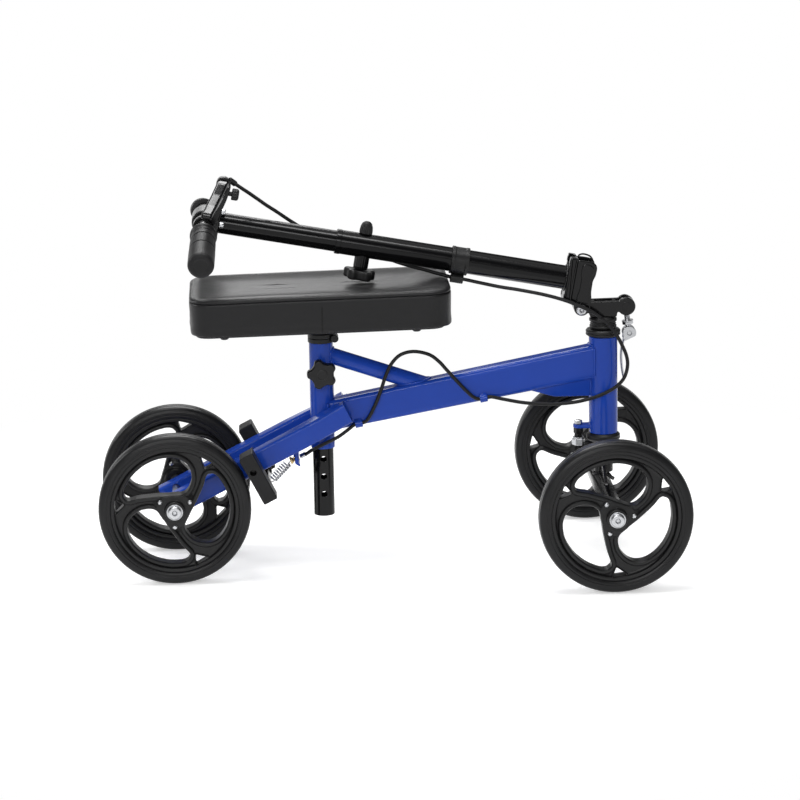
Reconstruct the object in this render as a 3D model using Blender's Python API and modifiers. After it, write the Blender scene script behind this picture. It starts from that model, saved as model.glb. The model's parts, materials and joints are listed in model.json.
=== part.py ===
"""Folding knee walker with its steering column folded back over the knee pad.

+X is forward, +Y is the rider's left, +Z is up, and the origin is on the floor midway between
the axles. Dimensions are written in millimetres and become metres where a mesh or curve is made.
The column, its foot and the handlebar are drawn in a frame of their own with its origin on the
fold pivot: X points away from the rider, Z runs up the column, and the whole frame is tipped back.
"""

from collections import namedtuple
from math import cos, pi, radians, sin

import bmesh
import bpy
from mathutils import Matrix, Vector

MM = 0.001

# Stance
AXLE_X = 284.0
WHEEL_RADIUS = 100.0
REAR_TRACK = 165.0
FRONT_TRACK = 368.0
STEER_X = 288.0

# Frame tubes
HEAD_RADIUS = 19.0
HEAD_BOTTOM = 167.0
HEAD_TOP = 298.0
SEAT_TUBE_X = -86.5
SEAT_TUBE_RADIUS = 15.9
SEAT_TUBE_BOTTOM = 157.0
SEAT_TUBE_TOP = 300.0
BEAM_WIDTH = 29.0
RAIL_HEIGHT = 28.0
RAIL_WIDTH = 25.0
RAIL_INSET = 23.0
WALL = 2.0

# Column and fold
FOLD_PIVOT = (257.5, 0.0, 338.0)
FOLD_ANGLE = 79.4
PIN = (318.0, 0.0, 339.0)
CAM_PIVOT = (322.5, 0.0, 302.0)
COLUMN_OFFSET = 35.7
OUTER_RADIUS = 15.9
INNER_RADIUS = 14.0
OUTER_END = 334.0
KNOB_U = 296.0
BAR_V = 36.0
BAR_U = 508.0
BAR_RADIUS = 11.1
BAR_HALF_LENGTH = 200.0
CABLE_RADIUS = 2.4

# Seat
POST_RADIUS = 13.9
POST_BOTTOM = 65.0
POST_TOP = 322.3
SEAT_TILT = -1.0
PAD_LENGTH = 336.0
PAD_WIDTH = 200.0
PAD_BOTTOM = 336.6
PAD_SEAM = 376.0
PAD_TOP = 378.4

# Rear brake
SHOE_PIVOT = (-180.5, 0.0, 148.5)

Group = namedtuple("Group", "empty frame")
PARTS = None
CUTTERS = None


def clear_scene():
    """Removes what the start-up scene holds and makes the two collections."""
    global PARTS, CUTTERS
    for old in list(bpy.data.objects):
        bpy.data.objects.remove(old)
    PARTS = bpy.data.collections.new("Folding knee walker")
    CUTTERS = bpy.data.collections.new("Cutters")
    bpy.context.scene.collection.children.link(PARTS)
    bpy.context.scene.collection.children.link(CUTTERS)


def scaled(point):
    return Vector(point) * MM


def material(name, colour, roughness, metallic=0.0):
    """A plain painted, plastic or metal surface."""
    made = bpy.data.materials.get(name)
    if made:
        return made
    made = bpy.data.materials.new(name)
    made.use_nodes = True
    shader = made.node_tree.nodes["Principled BSDF"]
    shader.inputs["Base Color"].default_value = (*colour, 1.0)
    shader.inputs["Roughness"].default_value = roughness
    shader.inputs["Metallic"].default_value = metallic
    made.diffuse_color = (*colour, 1.0)
    return made


def blue_paint():
    return material("Blue gloss paint", (0.02, 0.045, 0.32), 0.22)


def black_paint():
    return material("Black gloss paint", (0.012, 0.012, 0.013), 0.28)


def black_plastic():
    return material("Black plastic", (0.02, 0.02, 0.021), 0.5)


def black_rubber():
    return material("Black rubber", (0.025, 0.025, 0.026), 0.75)


def black_vinyl():
    return material("Black vinyl", (0.03, 0.03, 0.032), 0.55)


def bright_steel():
    return material("Bright steel", (0.72, 0.72, 0.74), 0.25, 1.0)


def brass():
    return material("Brass", (0.62, 0.46, 0.2), 0.35, 1.0)


def group(name, origin, parent=None, frame=None, tilt=0.0):
    """An empty on a joint axis, with the frame that its pieces are drawn in."""
    empty = bpy.data.objects.new(name, None)
    empty.empty_display_size = 0.03
    PARTS.objects.link(empty)
    if parent:
        empty.parent = parent.empty
    base = frame or Matrix.Identity(4)
    empty.matrix_world = base @ Matrix.Translation(scaled(origin)) @ Matrix.Rotation(radians(tilt), 4, "Y")
    bpy.context.view_layer.update()
    return Group(empty, base)


def add(owner, name, data, surface, placement=None, helper=False):
    """Links an object under the group's empty, drawn in the group's frame."""
    made = bpy.data.objects.new(name, data)
    (CUTTERS if helper else PARTS).objects.link(made)
    made.parent = owner.empty
    made.matrix_world = owner.frame @ (placement or Matrix.Identity(4))
    if surface:
        data.materials.append(surface)
    if helper:
        made.hide_render = True
        made.display_type = "WIRE"
    return made


def placed(at=(0, 0, 0), toward=(0, 0, 1)):
    """Moves the local origin to a point and turns local Z toward a direction."""
    turn = Vector(toward).to_track_quat("Z", "Y").to_matrix().to_4x4()
    return Matrix.Translation(scaled(at)) @ turn


SIDE_ON = Matrix.Rotation(radians(90), 4, "X")
END_ON = Matrix(((0, 0, 1, 0), (1, 0, 0, 0), (0, 1, 0, 0), (0, 0, 0, 1)))


def turned(owner, name, profile, surface, placement=None, steps=24, ring=False, helper=False):
    """A solid of revolution about local Z from (radius, height) points, outer side first."""
    data = bpy.data.meshes.new(name)
    points = [(r * MM, 0.0, z * MM) for r, z in profile]
    edges = [(i, i + 1) for i in range(len(points) - 1)]
    if ring:
        edges.append((len(points) - 1, 0))
    data.from_pydata(points, edges, [])
    made = add(owner, name, data, surface, placement, helper)
    screw = made.modifiers.new("Turn", "SCREW")
    screw.axis = "Z"
    screw.angle = 2 * pi
    screw.steps = steps
    screw.render_steps = steps
    screw.use_merge_vertices = True
    screw.merge_threshold = 0.00001
    return made


def pipe(owner, name, start, end, outer, bore, surface, steps=28, helper=False):
    """A straight round tube, or a bar where the bore is zero."""
    run = Vector(end) - Vector(start)
    length = run.length
    if bore:
        profile = [(outer, length), (outer, 0), (bore, 0), (bore, length)]
    else:
        profile = [(0, length), (outer, length), (outer, 0), (0, 0)]
    return turned(owner, name, profile, surface, placed(start, run), steps, bool(bore), helper)


def extruded(owner, name, outline, depth, surface, placement=None, helper=False):
    """A flat outline with thickness, centred on the local XY plane."""
    shape = bmesh.new()
    corners = [shape.verts.new((x * MM, y * MM, -depth * MM / 2)) for x, y in outline]
    base = shape.faces.new(corners)
    grown = bmesh.ops.extrude_face_region(shape, geom=[base])
    moved = [v for v in grown["geom"] if isinstance(v, bmesh.types.BMVert)]
    bmesh.ops.translate(shape, verts=moved, vec=(0, 0, depth * MM))
    bmesh.ops.recalc_face_normals(shape, faces=shape.faces)
    data = bpy.data.meshes.new(name)
    shape.to_mesh(data)
    shape.free()
    return add(owner, name, data, surface, placement, helper)


def plate(owner, name, outline, width, surface, y=0.0, helper=False):
    """An outline in the side view (x, z) with its thickness across the walker."""
    placement = Matrix.Translation(scaled((0, y, 0))) @ SIDE_ON
    return extruded(owner, name, outline, width, surface, placement, helper)


def box(owner, name, low, high, surface=None, helper=False):
    outline = [(low[0], low[2]), (high[0], low[2]), (high[0], high[2]), (low[0], high[2])]
    return plate(owner, name, outline, high[1] - low[1], surface, (low[1] + high[1]) / 2, helper)


def boolean(target, other, operation):
    step = target.modifiers.new(operation.title(), "BOOLEAN")
    step.operation = operation
    step.solver = "EXACT"
    step.object = other


def cut(target, *cutters):
    for cutter in cutters:
        boolean(target, cutter, "DIFFERENCE")


def weld(target, *others):
    for other in others:
        boolean(target, other, "UNION")


def bevel(target, width, segments=2, angle=40):
    step = target.modifiers.new("Edge", "BEVEL")
    step.width = width * MM
    step.segments = segments
    step.limit_method = "ANGLE"
    step.angle_limit = radians(angle)


def swept(owner, name, points, radius, surface, resolution=1):
    """A round cord along points."""
    data = bpy.data.curves.new(name, "CURVE")
    data.dimensions = "3D"
    data.bevel_depth = radius * MM
    data.bevel_resolution = resolution
    data.use_fill_caps = True
    spline = data.splines.new("POLY")
    spline.points.add(len(points) - 1)
    for knot, point in zip(spline.points, points):
        knot.co = (*scaled(point), 1.0)
    return add(owner, name, data, surface)


def arc(x, z, radius, start, end, count):
    angles = [radians(start + (end - start) * i / (count - 1)) for i in range(count)]
    return [(x + radius * cos(a), z + radius * sin(a)) for a in angles]


def smooth_path(points, per_span=3):
    """Points on a smooth line through the given ones."""
    line = [Vector(p) for p in points]
    line = [2 * line[0] - line[1], *line, 2 * line[-1] - line[-2]]
    found = []
    for before, a, b, after in zip(line, line[1:], line[2:], line[3:]):
        for i in range(per_span):
            t = i / per_span
            found.append(
                0.5 * (2 * a + (b - before) * t + (2 * before - 5 * a + 4 * b - after) * t**2
                       + (3 * a - before - 3 * b + after) * t**3)
            )
    return [*found, line[-2]]


# Frame


def box_tube(owner, name, stations, width, radius, surface, wall=WALL):
    """A rectangular tube through (x, y, z, height) stations, with rounded long edges."""
    shape = bmesh.new()
    first = Vector((stations[0][0], stations[0][2]))
    last = Vector((stations[-1][0], stations[-1][2]))
    along = (last - first).normalized()
    rings = []
    for x, y, z, height in stations:
        ring = []
        for side, up in ((-1, -1), (1, -1), (1, 1), (-1, 1)):
            lift = up * height / 2
            corner = (x - along.y * lift, y + side * width / 2, z + along.x * lift)
            ring.append(shape.verts.new(scaled(corner)))
        rings.append(ring)
    long_edges = []
    for near, far in zip(rings, rings[1:]):
        for i in range(4):
            shape.faces.new((near[i], near[(i + 1) % 4], far[(i + 1) % 4], far[i]))
            long_edges.append(shape.edges.get((near[i], far[i])))
    bmesh.ops.recalc_face_normals(shape, faces=shape.faces)
    bmesh.ops.bevel(
        shape, geom=long_edges, offset=radius * MM, segments=2, profile=0.5, affect="EDGES"
    )
    data = bpy.data.meshes.new(name)
    shape.to_mesh(data)
    shape.free()
    made = add(owner, name, data, surface)
    skin = made.modifiers.new("Wall", "SOLIDIFY")
    skin.thickness = wall * MM
    skin.offset = -1
    skin.use_even_offset = True
    return made


def head_tube(frame):
    profile = [(HEAD_RADIUS, HEAD_TOP), (HEAD_RADIUS, HEAD_BOTTOM), (16.8, HEAD_BOTTOM), (16.8, HEAD_TOP)]
    tube = turned(frame, "head_tube", profile, blue_paint(), placed((STEER_X, 0, 0)), 28, True)
    lug = box(frame, "head_lug", (249, -9, 174), (270.6, 9, 178.5), helper=True)
    weld(tube, lug)
    cut(tube, pipe(frame, "lug_hole", (254.5, 0, 160), (254.5, 0, 190), 3.3, 0, None, 12, True))
    upper = [(21, 308), (23, 306), (23, 300.5), (20, 298.3), (13.1, 298.3), (13.1, 308)]
    lower = [(20, 166.7), (22.5, 164), (22.5, 159), (20, 156.5), (13.1, 156.5), (13.1, 166.7)]
    for name, profile in (("upper_bearing_cup", upper), ("lower_bearing_cup", lower)):
        turned(frame, name, profile, black_plastic(), placed((STEER_X, 0, 0)), 16, True)
    stop = [
        (0, 184), (4.5, 184), (5.6, 183), (5.6, 178.9), (2.9, 178.9), (2.9, 173.6), (5, 173.6),
        (5, 158.4), (6.6, 158.4), (6.6, 151.6), (3, 150), (0, 150),
    ]
    turned(frame, "steering_stop_bolt", stop, bright_steel(), placed((254.5, 0, 0)), 10)


def main_beam(frame):
    """The tapered beam from seat tube to head tube, coped at both ends, with two cable loops."""
    stations = [(-84, 0, 199.8, 40.2), (278, 0, 265.3, 44.3)]
    beam = box_tube(frame, "main_beam", stations, BEAM_WIDTH, 5, blue_paint())
    gusset = [(190, 228), (222, 218.5), (275, 218.5), (275, 243)]
    weld(beam, plate(frame, "head_gusset", gusset, 18, None, 0, True))
    for x, z in ((127.0, 221.4), (-39.0, 191.6)):
        at = (x - 4.9, -18.4, z - 0.9)
        end = (x + 4.9, -18.4, z + 0.9)
        weld(beam, pipe(frame, "cable_loop", at, end, 5.2, 3, None, 10, True))
    cut(
        beam,
        pipe(frame, "seat_cope", (SEAT_TUBE_X, 0, 120), (SEAT_TUBE_X, 0, 340), 16.3, 0, None, 28, True),
        pipe(frame, "head_cope", (STEER_X, 0, 120), (STEER_X, 0, 400), 19.4, 0, None, 32, True),
    )


def seat_tube(frame):
    """The upright tube with the boss for its knob, and the strut that braces it."""
    x = SEAT_TUBE_X
    radius = SEAT_TUBE_RADIUS
    profile = [
        (radius, SEAT_TUBE_TOP), (radius, SEAT_TUBE_BOTTOM), (14.3, SEAT_TUBE_BOTTOM), (14.3, SEAT_TUBE_TOP),
    ]
    tube = turned(frame, "seat_tube", profile, blue_paint(), placed((x, 0, 0)), 24, True)
    weld(tube, pipe(frame, "seat_boss", (x, -10, 263), (x, -24, 263), 8, 0, None, 16, True))
    cut(
        tube,
        pipe(frame, "tube_bore", (x, 0, 240), (x, 0, 290), 14.3, 0, None, 24, True),
        pipe(frame, "boss_hole", (x, -8, 263), (x, -30, 263), 4.3, 0, None, 16, True),
    )
    collar = [(17.3, 312), (17.3, 300.3), (14.3, 300.3), (14.3, 312)]
    ring = turned(frame, "seat_collar", collar, black_plastic(), placed((x, 0, 0)), 24, True)
    weld(ring, pipe(frame, "collar_ear", (-68.5, -14, 306.2), (-68.5, 6, 306.2), 5.2, 0, None, 12, True))
    cut(ring, pipe(frame, "collar_bore", (x, 0, 290), (x, 0, 330), 14.3, 0, None, 24, True))
    strut = pipe(frame, "seat_strut", (-84, 0, 284.6), (60, 0, 234.7), 11, 9.2, blue_paint(), 20)
    cut(
        strut,
        pipe(frame, "strut_cope", (x, 0, 200), (x, 0, 340), 16.3, 0, None, 28, True),
        plate(frame, "beam_cope", [(-90, 219.9), (-90, 120), (150, 120), (150, 264.7)], 60, None, 0, True),
    )


def rear_rails(frame):
    """Two box rails that run down to the axle and close in on the seat tube in front."""
    slope = 0.5036
    for side, name in ((-1, "rear_rail_right"), (1, "rear_rail_left")):
        wide = side * (RAIL_INSET + RAIL_WIDTH / 2)
        close = side * (BEAM_WIDTH / 2 + 0.4 + RAIL_WIDTH / 2)
        stations = [
            (x, y, 94.6 + slope * (x + 284), RAIL_HEIGHT)
            for x, y in ((-295, wide), (-112, wide), (-66, close), (-54, close))
        ]
        rail = box_tube(frame, name, stations, RAIL_WIDTH, 3.5, blue_paint())
        if side < 0:
            tab = [(-125, 161.5), (-125, 133), (-121.5, 131), (-118.5, 131), (-118.5, 162.5)]
            stop = plate(frame, "stop_tab", tab, 32, None, -12, True)
            weld(rail, stop)
            cut(rail, pipe(frame, "stop_hole", (-130, 0, 138.9), (-113, 0, 145.9), 3.6, 0, None, 12, True))
        for x, z, radius in ((-AXLE_X, WHEEL_RADIUS, 5.4), (SHOE_PIVOT[0], SHOE_PIVOT[2], 4.4)):
            run = [(x, side * 10, z), (x, side * 60, z)]
            cut(rail, pipe(frame, "rail_hole", *run, radius, 0, None, 16, True))


def rear_axle(frame):
    reach = REAR_TRACK / 2 + 20.8
    inner = REAR_TRACK / 2 - 20.3
    half = [
        (0, reach + 7), (7, reach + 7), (9.4, reach + 4.8), (9.4, reach), (4.7, reach), (4.7, inner),
        (8.5, inner), (8.5, 48.5), (4.7, 48.5),
    ]
    profile = half + [(r, -z) for r, z in reversed(half)]
    turned(frame, "rear_axle", profile, bright_steel(), placed((-AXLE_X, 0, WHEEL_RADIUS), (0, -1, 0)), 12)
    bolt = [(0, 97), (4, 97), (4, 59.8), (7, 59.8), (7, 55.4), (4, 55.4)]
    profile = bolt + [(r, -z) for r, z in reversed(bolt)]
    turned(frame, "brake_pivot_bolt", profile, bright_steel(), placed(SHOE_PIVOT, (0, -1, 0)), 14)


# Rear brake


def along_shoe(drop, reach=0.0):
    """A side-view point measured from the shoe pivot: down the shoe, then toward the front."""
    return (
        SHOE_PIVOT[0] + 0.454 * drop + 0.891 * reach,
        SHOE_PIVOT[2] - 0.891 * drop + 0.454 * reach,
    )


def rear_brake(brake):
    """Two blocks that press on the tyres, on a frame that hangs from the rails."""
    edge = [(-9, -3), (-6, -7), (0, -9), (36, -6), (47, -5), (47, 6), (36, 8), (0, 9), (-6, 7), (-9, 3)]
    arm = [along_shoe(*p) for p in edge]
    bridge = [along_shoe(*p) for p in ((35.5, -3.6), (46, -3.6), (46, 4.6), (35.5, 4.6))]
    frame = plate(brake, "brake_shoe_frame", bridge, 131, black_paint())
    for side in (-1, 1):
        weld(frame, plate(brake, "shoe_arm", arm, 4.4, None, side * 52.8, True))
    start = (SHOE_PIVOT[0], -70, SHOE_PIVOT[2])
    end = (SHOE_PIVOT[0], 70, SHOE_PIVOT[2])
    cut(frame, pipe(brake, "arm_hole", start, end, 4.3, 0, None, 16, True))
    block = [along_shoe(*p) for p in ((-24, -7), (-21, -9), (10, -8), (48, -8), (48, 8), (-24, 8))]
    for side, name in ((-1, "brake_shoe_right"), (1, "brake_shoe_left")):
        shoe = plate(brake, name, block, 31.4, black_rubber(), side * 81.9)
        bevel(shoe, 1.2, 1)
        start = (SHOE_PIVOT[0], side * 60, SHOE_PIVOT[2])
        end = (SHOE_PIVOT[0], side * 110, SHOE_PIVOT[2])
        cut(shoe, pipe(brake, "shoe_hole", start, end, 4.4, 0, None, 16, True))


def brake_spring(frame):
    """The threaded cable adjuster and the open spring that pushes the shoe frame off the tyres."""
    adjuster = [(3.3, 12.6), (3.3, 3), (4.8, 3), (4.8, 0), (1.6, 0), (1.6, 12.6)]
    pull = Vector((0.925, 0, 0.38))
    turned(frame, "cable_adjuster", adjuster, brass(), placed((-130.5, 0, 138.7), pull), 12, True)
    foot = Vector((-149.6, 0, 119.2))
    head = Vector((-134.0, 0, 135.4))
    axis = (head - foot).normalized()
    across = Vector((0, 1, 0))
    third = axis.cross(across)
    curls = 6
    per_curl = 9
    coil = []
    for i in range(curls * per_curl + 1):
        turn = 2 * pi * i / per_curl
        middle = foot.lerp(head, i / (curls * per_curl))
        coil.append(middle + 5.2 * (cos(turn) * across + sin(turn) * third))
    swept(frame, "brake_return_spring", coil, 0.9, bright_steel())


# Wheels


def swirl_opening(turn):
    """The comma-shaped opening between two spokes, as (x, y) seen from outside."""
    outline = [
        (67.5, 99.6), (71.5, 96), (74, 88), (75.3, 76), (75.3, 64), (74.5, 52), (73, 42), (71, 32),
        (68, 22), (62.5, 13), (54, 5), (43, 0.5), (33, 1.5), (27.5, 9), (25, 28), (26, 50), (31, 67),
        (40, 84), (50, 94), (59, 99.2), (64, 100.8),
    ]
    return [(r * cos(radians(a + turn)), r * sin(radians(a + turn))) for r, a in outline]


def wheel(owner, name, centre, outward, phase):
    """A turned wheel centre with three swirl openings and three small ones, and its ribbed tyre."""
    side = -1 if outward < 0 else 1
    across = Vector((-side * cos(radians(phase)), 0, sin(radians(phase))))
    out = Vector((0, side, 0))
    turn = Matrix((across, out.cross(across), out)).transposed().to_4x4()
    facing = Matrix.Translation(scaled(centre)) @ turn
    level = Vector((-side, 0, 0))
    square = Matrix((level, out.cross(level), out)).transposed().to_4x4()
    profile = [
        (83.5, 11.6), (83.5, -11.6), (34, -10), (15, -20), (5.2, -20), (5.2, 20.5), (13, 20.5), (34, 10),
    ]
    rim = turned(owner, name + "_centre", profile, black_plastic(), facing, 28, True)
    for k in range(3):
        notch = [(69.5, -7.8), (81.0, -8.4), (80.4, 1.0)]
        small = [(r * cos(radians(a + 120 * k)), r * sin(radians(a + 120 * k))) for r, a in notch]
        cut(rim, extruded(owner, name + "_opening", swirl_opening(120 * k), 60, None, facing, True))
        cut(rim, extruded(owner, name + "_notch", small, 60, None, facing, True))
    tread = [
        (93, 15), (98.4, 12.4), (100, 8.5), (100, -8.5), (98.4, -12.4), (93, -15),
        (84.3, -13.4), (84.3, 13.4),
    ]
    tyre = Matrix.Translation(scaled(centre)) @ square
    turned(owner, name + "_tyre", tread, black_rubber(), tyre, 32, True)


# Steering


def steering_parts(steering):
    turned(
        steering, "steerer_stem", [(12.7, 325.2), (12.7, 113.4), (10.7, 113.4), (10.7, 325.2)],
        black_paint(), placed((STEER_X, 0, 0)), 20, True,
    )
    stack = [
        (15, 325.2), (18.4, 321.5), (18.4, 319), (16.4, 317), (16.4, 315), (18, 313), (18, 311),
        (16.8, 308.4), (13.1, 308.4), (13.1, 325.2),
    ]
    turned(steering, "spacer_stack", stack, black_plastic(), placed((STEER_X, 0, 0)), 20, True)
    reach = FRONT_TRACK / 2 - 20.6
    beam = pipe(
        steering, "front_axle_beam", (AXLE_X, -reach, WHEEL_RADIUS), (AXLE_X, reach, WHEEL_RADIUS),
        13, 10.6, black_paint(), 20,
    )
    for side in (-1, 1):
        web = [(side * 13.3, 111.4), (side * 78, 111.4), (side * 13.3, 150)]
        placement = Matrix.Translation(scaled((AXLE_X, 0, 0))) @ END_ON
        weld(beam, extruded(steering, "axle_web", web, 4, None, placement, True))
    tip = FRONT_TRACK / 2 + 20.8
    inner = FRONT_TRACK / 2 - 20.3
    half = [
        (0, tip + 7), (7, tip + 7), (9.4, tip + 4.8), (9.4, tip), (4.7, tip), (4.7, inner), (10, inner),
        (10, inner - 14), (4.7, inner - 14),
    ]
    profile = half + [(r, -z) for r, z in reversed(half)]
    turned(steering, "front_axle", profile, bright_steel(), placed((AXLE_X, 0, WHEEL_RADIUS), (0, -1, 0)), 12)


def fold_bracket(steering):
    """The fork on top of the stem that carries the fold pivot behind and the swing bolt in front."""
    outline = [(270, 325.5), (305, 325.5), (306, 331.5)]
    outline += arc(PIN[0], PIN[2], 12, -142, 140, 14)
    outline += [(262, 346)]
    outline += arc(FOLD_PIVOT[0], FOLD_PIVOT[2], 9.2, 62, 296, 9)
    outline += [(268, 331.5)]
    bracket = plate(steering, "fold_bracket", outline, 26, black_paint())
    cut(
        bracket,
        box(steering, "bolt_slot", (304, -5.6, 318), (336, 5.6, 360), helper=True),
        box(steering, "light_slot", (276, -5.6, 341), (300, 5.6, 350), helper=True),
    )
    for x, _, z in (FOLD_PIVOT, PIN):
        cut(bracket, pipe(steering, "bracket_hole", (x, -30, z), (x, 30, z), 4.3, 0, None, 16, True))
    pipe(steering, "swing_bolt_pin", (PIN[0], -13, PIN[2]), (PIN[0], 13, PIN[2]), 4, 0, bright_steel(), 16)
    half = [(0, 25.6), (5.2, 25.6), (6.8, 24), (6.8, 20.4), (4, 20.4)]
    profile = half + [(r, -z) for r, z in reversed(half)]
    turned(steering, "fold_pivot_bolt", profile, bright_steel(), placed(FOLD_PIVOT, (0, -1, 0)), 14)


def swing_bolt(swing, lever):
    """The bolt that swings up into the column foot, its nut, and the curved cam lever."""
    down = (Vector(CAM_PIVOT) - Vector(PIN)).normalized()
    eye = pipe(swing, "swing_bolt", (PIN[0], -5, PIN[2]), (PIN[0], 5, PIN[2]), 8.5, 0, bright_steel(), 20)
    rod = [Vector(PIN) + down * 5, Vector(PIN) + down * 43]
    cross = [(CAM_PIVOT[0], -8.6, CAM_PIVOT[2]), (CAM_PIVOT[0], 8.6, CAM_PIVOT[2])]
    weld(
        eye,
        pipe(swing, "bolt_rod", *rod, 4, 0, None, 16, True),
        pipe(swing, "cam_pin", *cross, 3, 0, None, 12, True),
    )
    cut(eye, pipe(swing, "eye_hole", (PIN[0], -9, PIN[2]), (PIN[0], 9, PIN[2]), 4.3, 0, None, 16, True))
    nut = [(7, 26.6), (7, 22.4), (8.2, 22.4), (8.2, 20.6), (4.4, 20.6), (4.4, 26.6)]
    turned(swing, "swing_bolt_nut", nut, bright_steel(), placed(PIN, down), 12, True)
    middle = [(314, 294.5), (310.9, 284), (309.9, 270), (310.8, 255), (314.4, 238)]
    front = [(x + 3.2, z + 0.6) for x, z in middle]
    outline = arc(CAM_PIVOT[0], CAM_PIVOT[2], 9, -30, 205, 12) + middle + front[::-1]
    cam = plate(lever, "cam_lever", outline, 16, bright_steel())
    hole = [(CAM_PIVOT[0], -20, CAM_PIVOT[2]), (CAM_PIVOT[0], 20, CAM_PIVOT[2])]
    slot = arc(CAM_PIVOT[0], CAM_PIVOT[2], 16, 20, 200, 8) + arc(CAM_PIVOT[0], CAM_PIVOT[2], 7.6, 215, 365, 8)
    cut(
        cam,
        plate(lever, "cam_slot", slot, 9, None, 0, True),
        pipe(lever, "cam_hole", *hole, 3.3, 0, None, 12, True),
    )


# Column


def column_foot(column):
    """The forked casting at the column's lower end, with a socket for the tube."""
    outline = [
        (-9.5, 0), (-8, -6), (-3.5, -10.4), (3, -11.5), (58, -11.5), (64, -10), (67.5, -6), (69, 0),
        (69, 26), (7, 26), (7, 12), (-2, 9.5), (-7.5, 6),
    ]
    foot = plate(column, "column_foot", outline, 40, black_paint())
    bevel(foot, 1.2, 1)
    cavity = [(-20, -20), (80, -20), (80, 14.3), (46, 14.3), (46, 8.7), (12, 8.7), (12, 10.4), (-20, 10.4)]
    cut(
        foot,
        plate(column, "fork_gap", cavity, 26.8, None, 0, True),
        pipe(column, "socket", (COLUMN_OFFSET, 0, 14.2), (COLUMN_OFFSET, 0, 40), 16.2, 0, None, 28, True),
        box(column, "rod_slot", (54, -5.8, -20), (80, 5.8, 40), helper=True),
        box(column, "nut_seat", (52.3, -10.5, 20), (80, 10.5, 40), helper=True),
        pipe(column, "foot_hole", (0, -40, 0), (0, 40, 0), 4.3, 0, None, 16, True),
    )
    side = [(71, 15.5), (73.4, 13), (74.8, 8), (74.6, 1), (73, -5.5), (70.6, -9)]
    loop = [(v, 15.4, u) for v, u in side]
    swept(column, "retaining_loop", smooth_path(loop, 2), 1.5, black_plastic())


def outer_tube(column):
    middle = (COLUMN_OFFSET, 0, 0)
    profile = [
        (OUTER_RADIUS, OUTER_END), (OUTER_RADIUS, 14.6), (14.4, 14.6), (14.4, OUTER_END),
    ]
    tube = turned(column, "outer_tube", profile, black_paint(), placed(middle), 24, True)
    boss = [(28, 0, KNOB_U), (6.2, 0, KNOB_U)]
    weld(tube, pipe(column, "knob_boss", *boss, 8.3, 0, None, 16, True))
    bore = [(COLUMN_OFFSET, 0, KNOB_U - 30), (COLUMN_OFFSET, 0, KNOB_U + 30)]
    cut(tube, pipe(column, "column_bore", *bore, 14.4, 0, None, 24, True))
    cut(tube, pipe(column, "knob_hole", (30, 0, KNOB_U), (0, 0, KNOB_U), 4.3, 0, None, 16, True))
    cap = [(0, 15.6), (3.2, 15), (5.9, 12.6), (7.6, 8.6), (8.3, 4), (8.3, 0), (0, 0)]
    at = (COLUMN_OFFSET + OUTER_RADIUS + 0.3, 0, KNOB_U + 0.5)
    turned(column, "column_cap_nut", cap, black_rubber(), placed(at, (1, 0, 0)), 16)
    band = [(18.4, 180), (18.4, 157), (16.4, 157), (16.4, 180)]
    clip = turned(column, "cable_clip", band, black_plastic(), placed(middle), 20, True)
    weld(clip, pipe(column, "clip_eye", (12.6, -4, 160), (12.6, -4, 177), 6.4, 0, None, 16, True))
    cut(
        clip,
        pipe(column, "clip_bore", (12.6, -4, 150), (12.6, -4, 190), CABLE_RADIUS + 0.3, 0, None, 12, True),
        pipe(column, "band_bore", (COLUMN_OFFSET, 0, 150), (COLUMN_OFFSET, 0, 190), 16.4, 0, None, 20, True),
    )


def star(outer, inner, lobes=5, count=30, turn=0.0):
    mean = (outer + inner) / 2
    swing = (outer - inner) / 2
    found = []
    for i in range(count):
        a = 2 * pi * i / count
        r = mean + swing * cos(lobes * (a - turn))
        found.append((r * cos(a), r * sin(a)))
    return found


def star_knob(owner, name, at, toward, reach, thickness, radius, turn=0.0):
    """A lobed hand knob with its screw: `at` is the knob's inner face and the screw runs `reach` beyond."""
    axis = Vector(toward).normalized()
    placement = placed(Vector(at) - axis * thickness / 2, axis)
    outline = star(radius, radius * 0.76, turn=turn)
    knob = extruded(owner, name, outline, thickness, black_plastic(), placement)
    bevel(knob, 2.2, 1, 60)
    screw = [Vector(at) - axis * 3, Vector(at) + axis * reach]
    weld(knob, pipe(owner, name + "_screw", *screw, 3.9, 0, None, 16, True))


# Handlebar


def bar_point(y):
    """A point on the bar's centre line, which bends back outside the clamps."""
    out = max(abs(y) - 60, 0)
    return (BAR_V - 0.16 * out, y, BAR_U)


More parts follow.
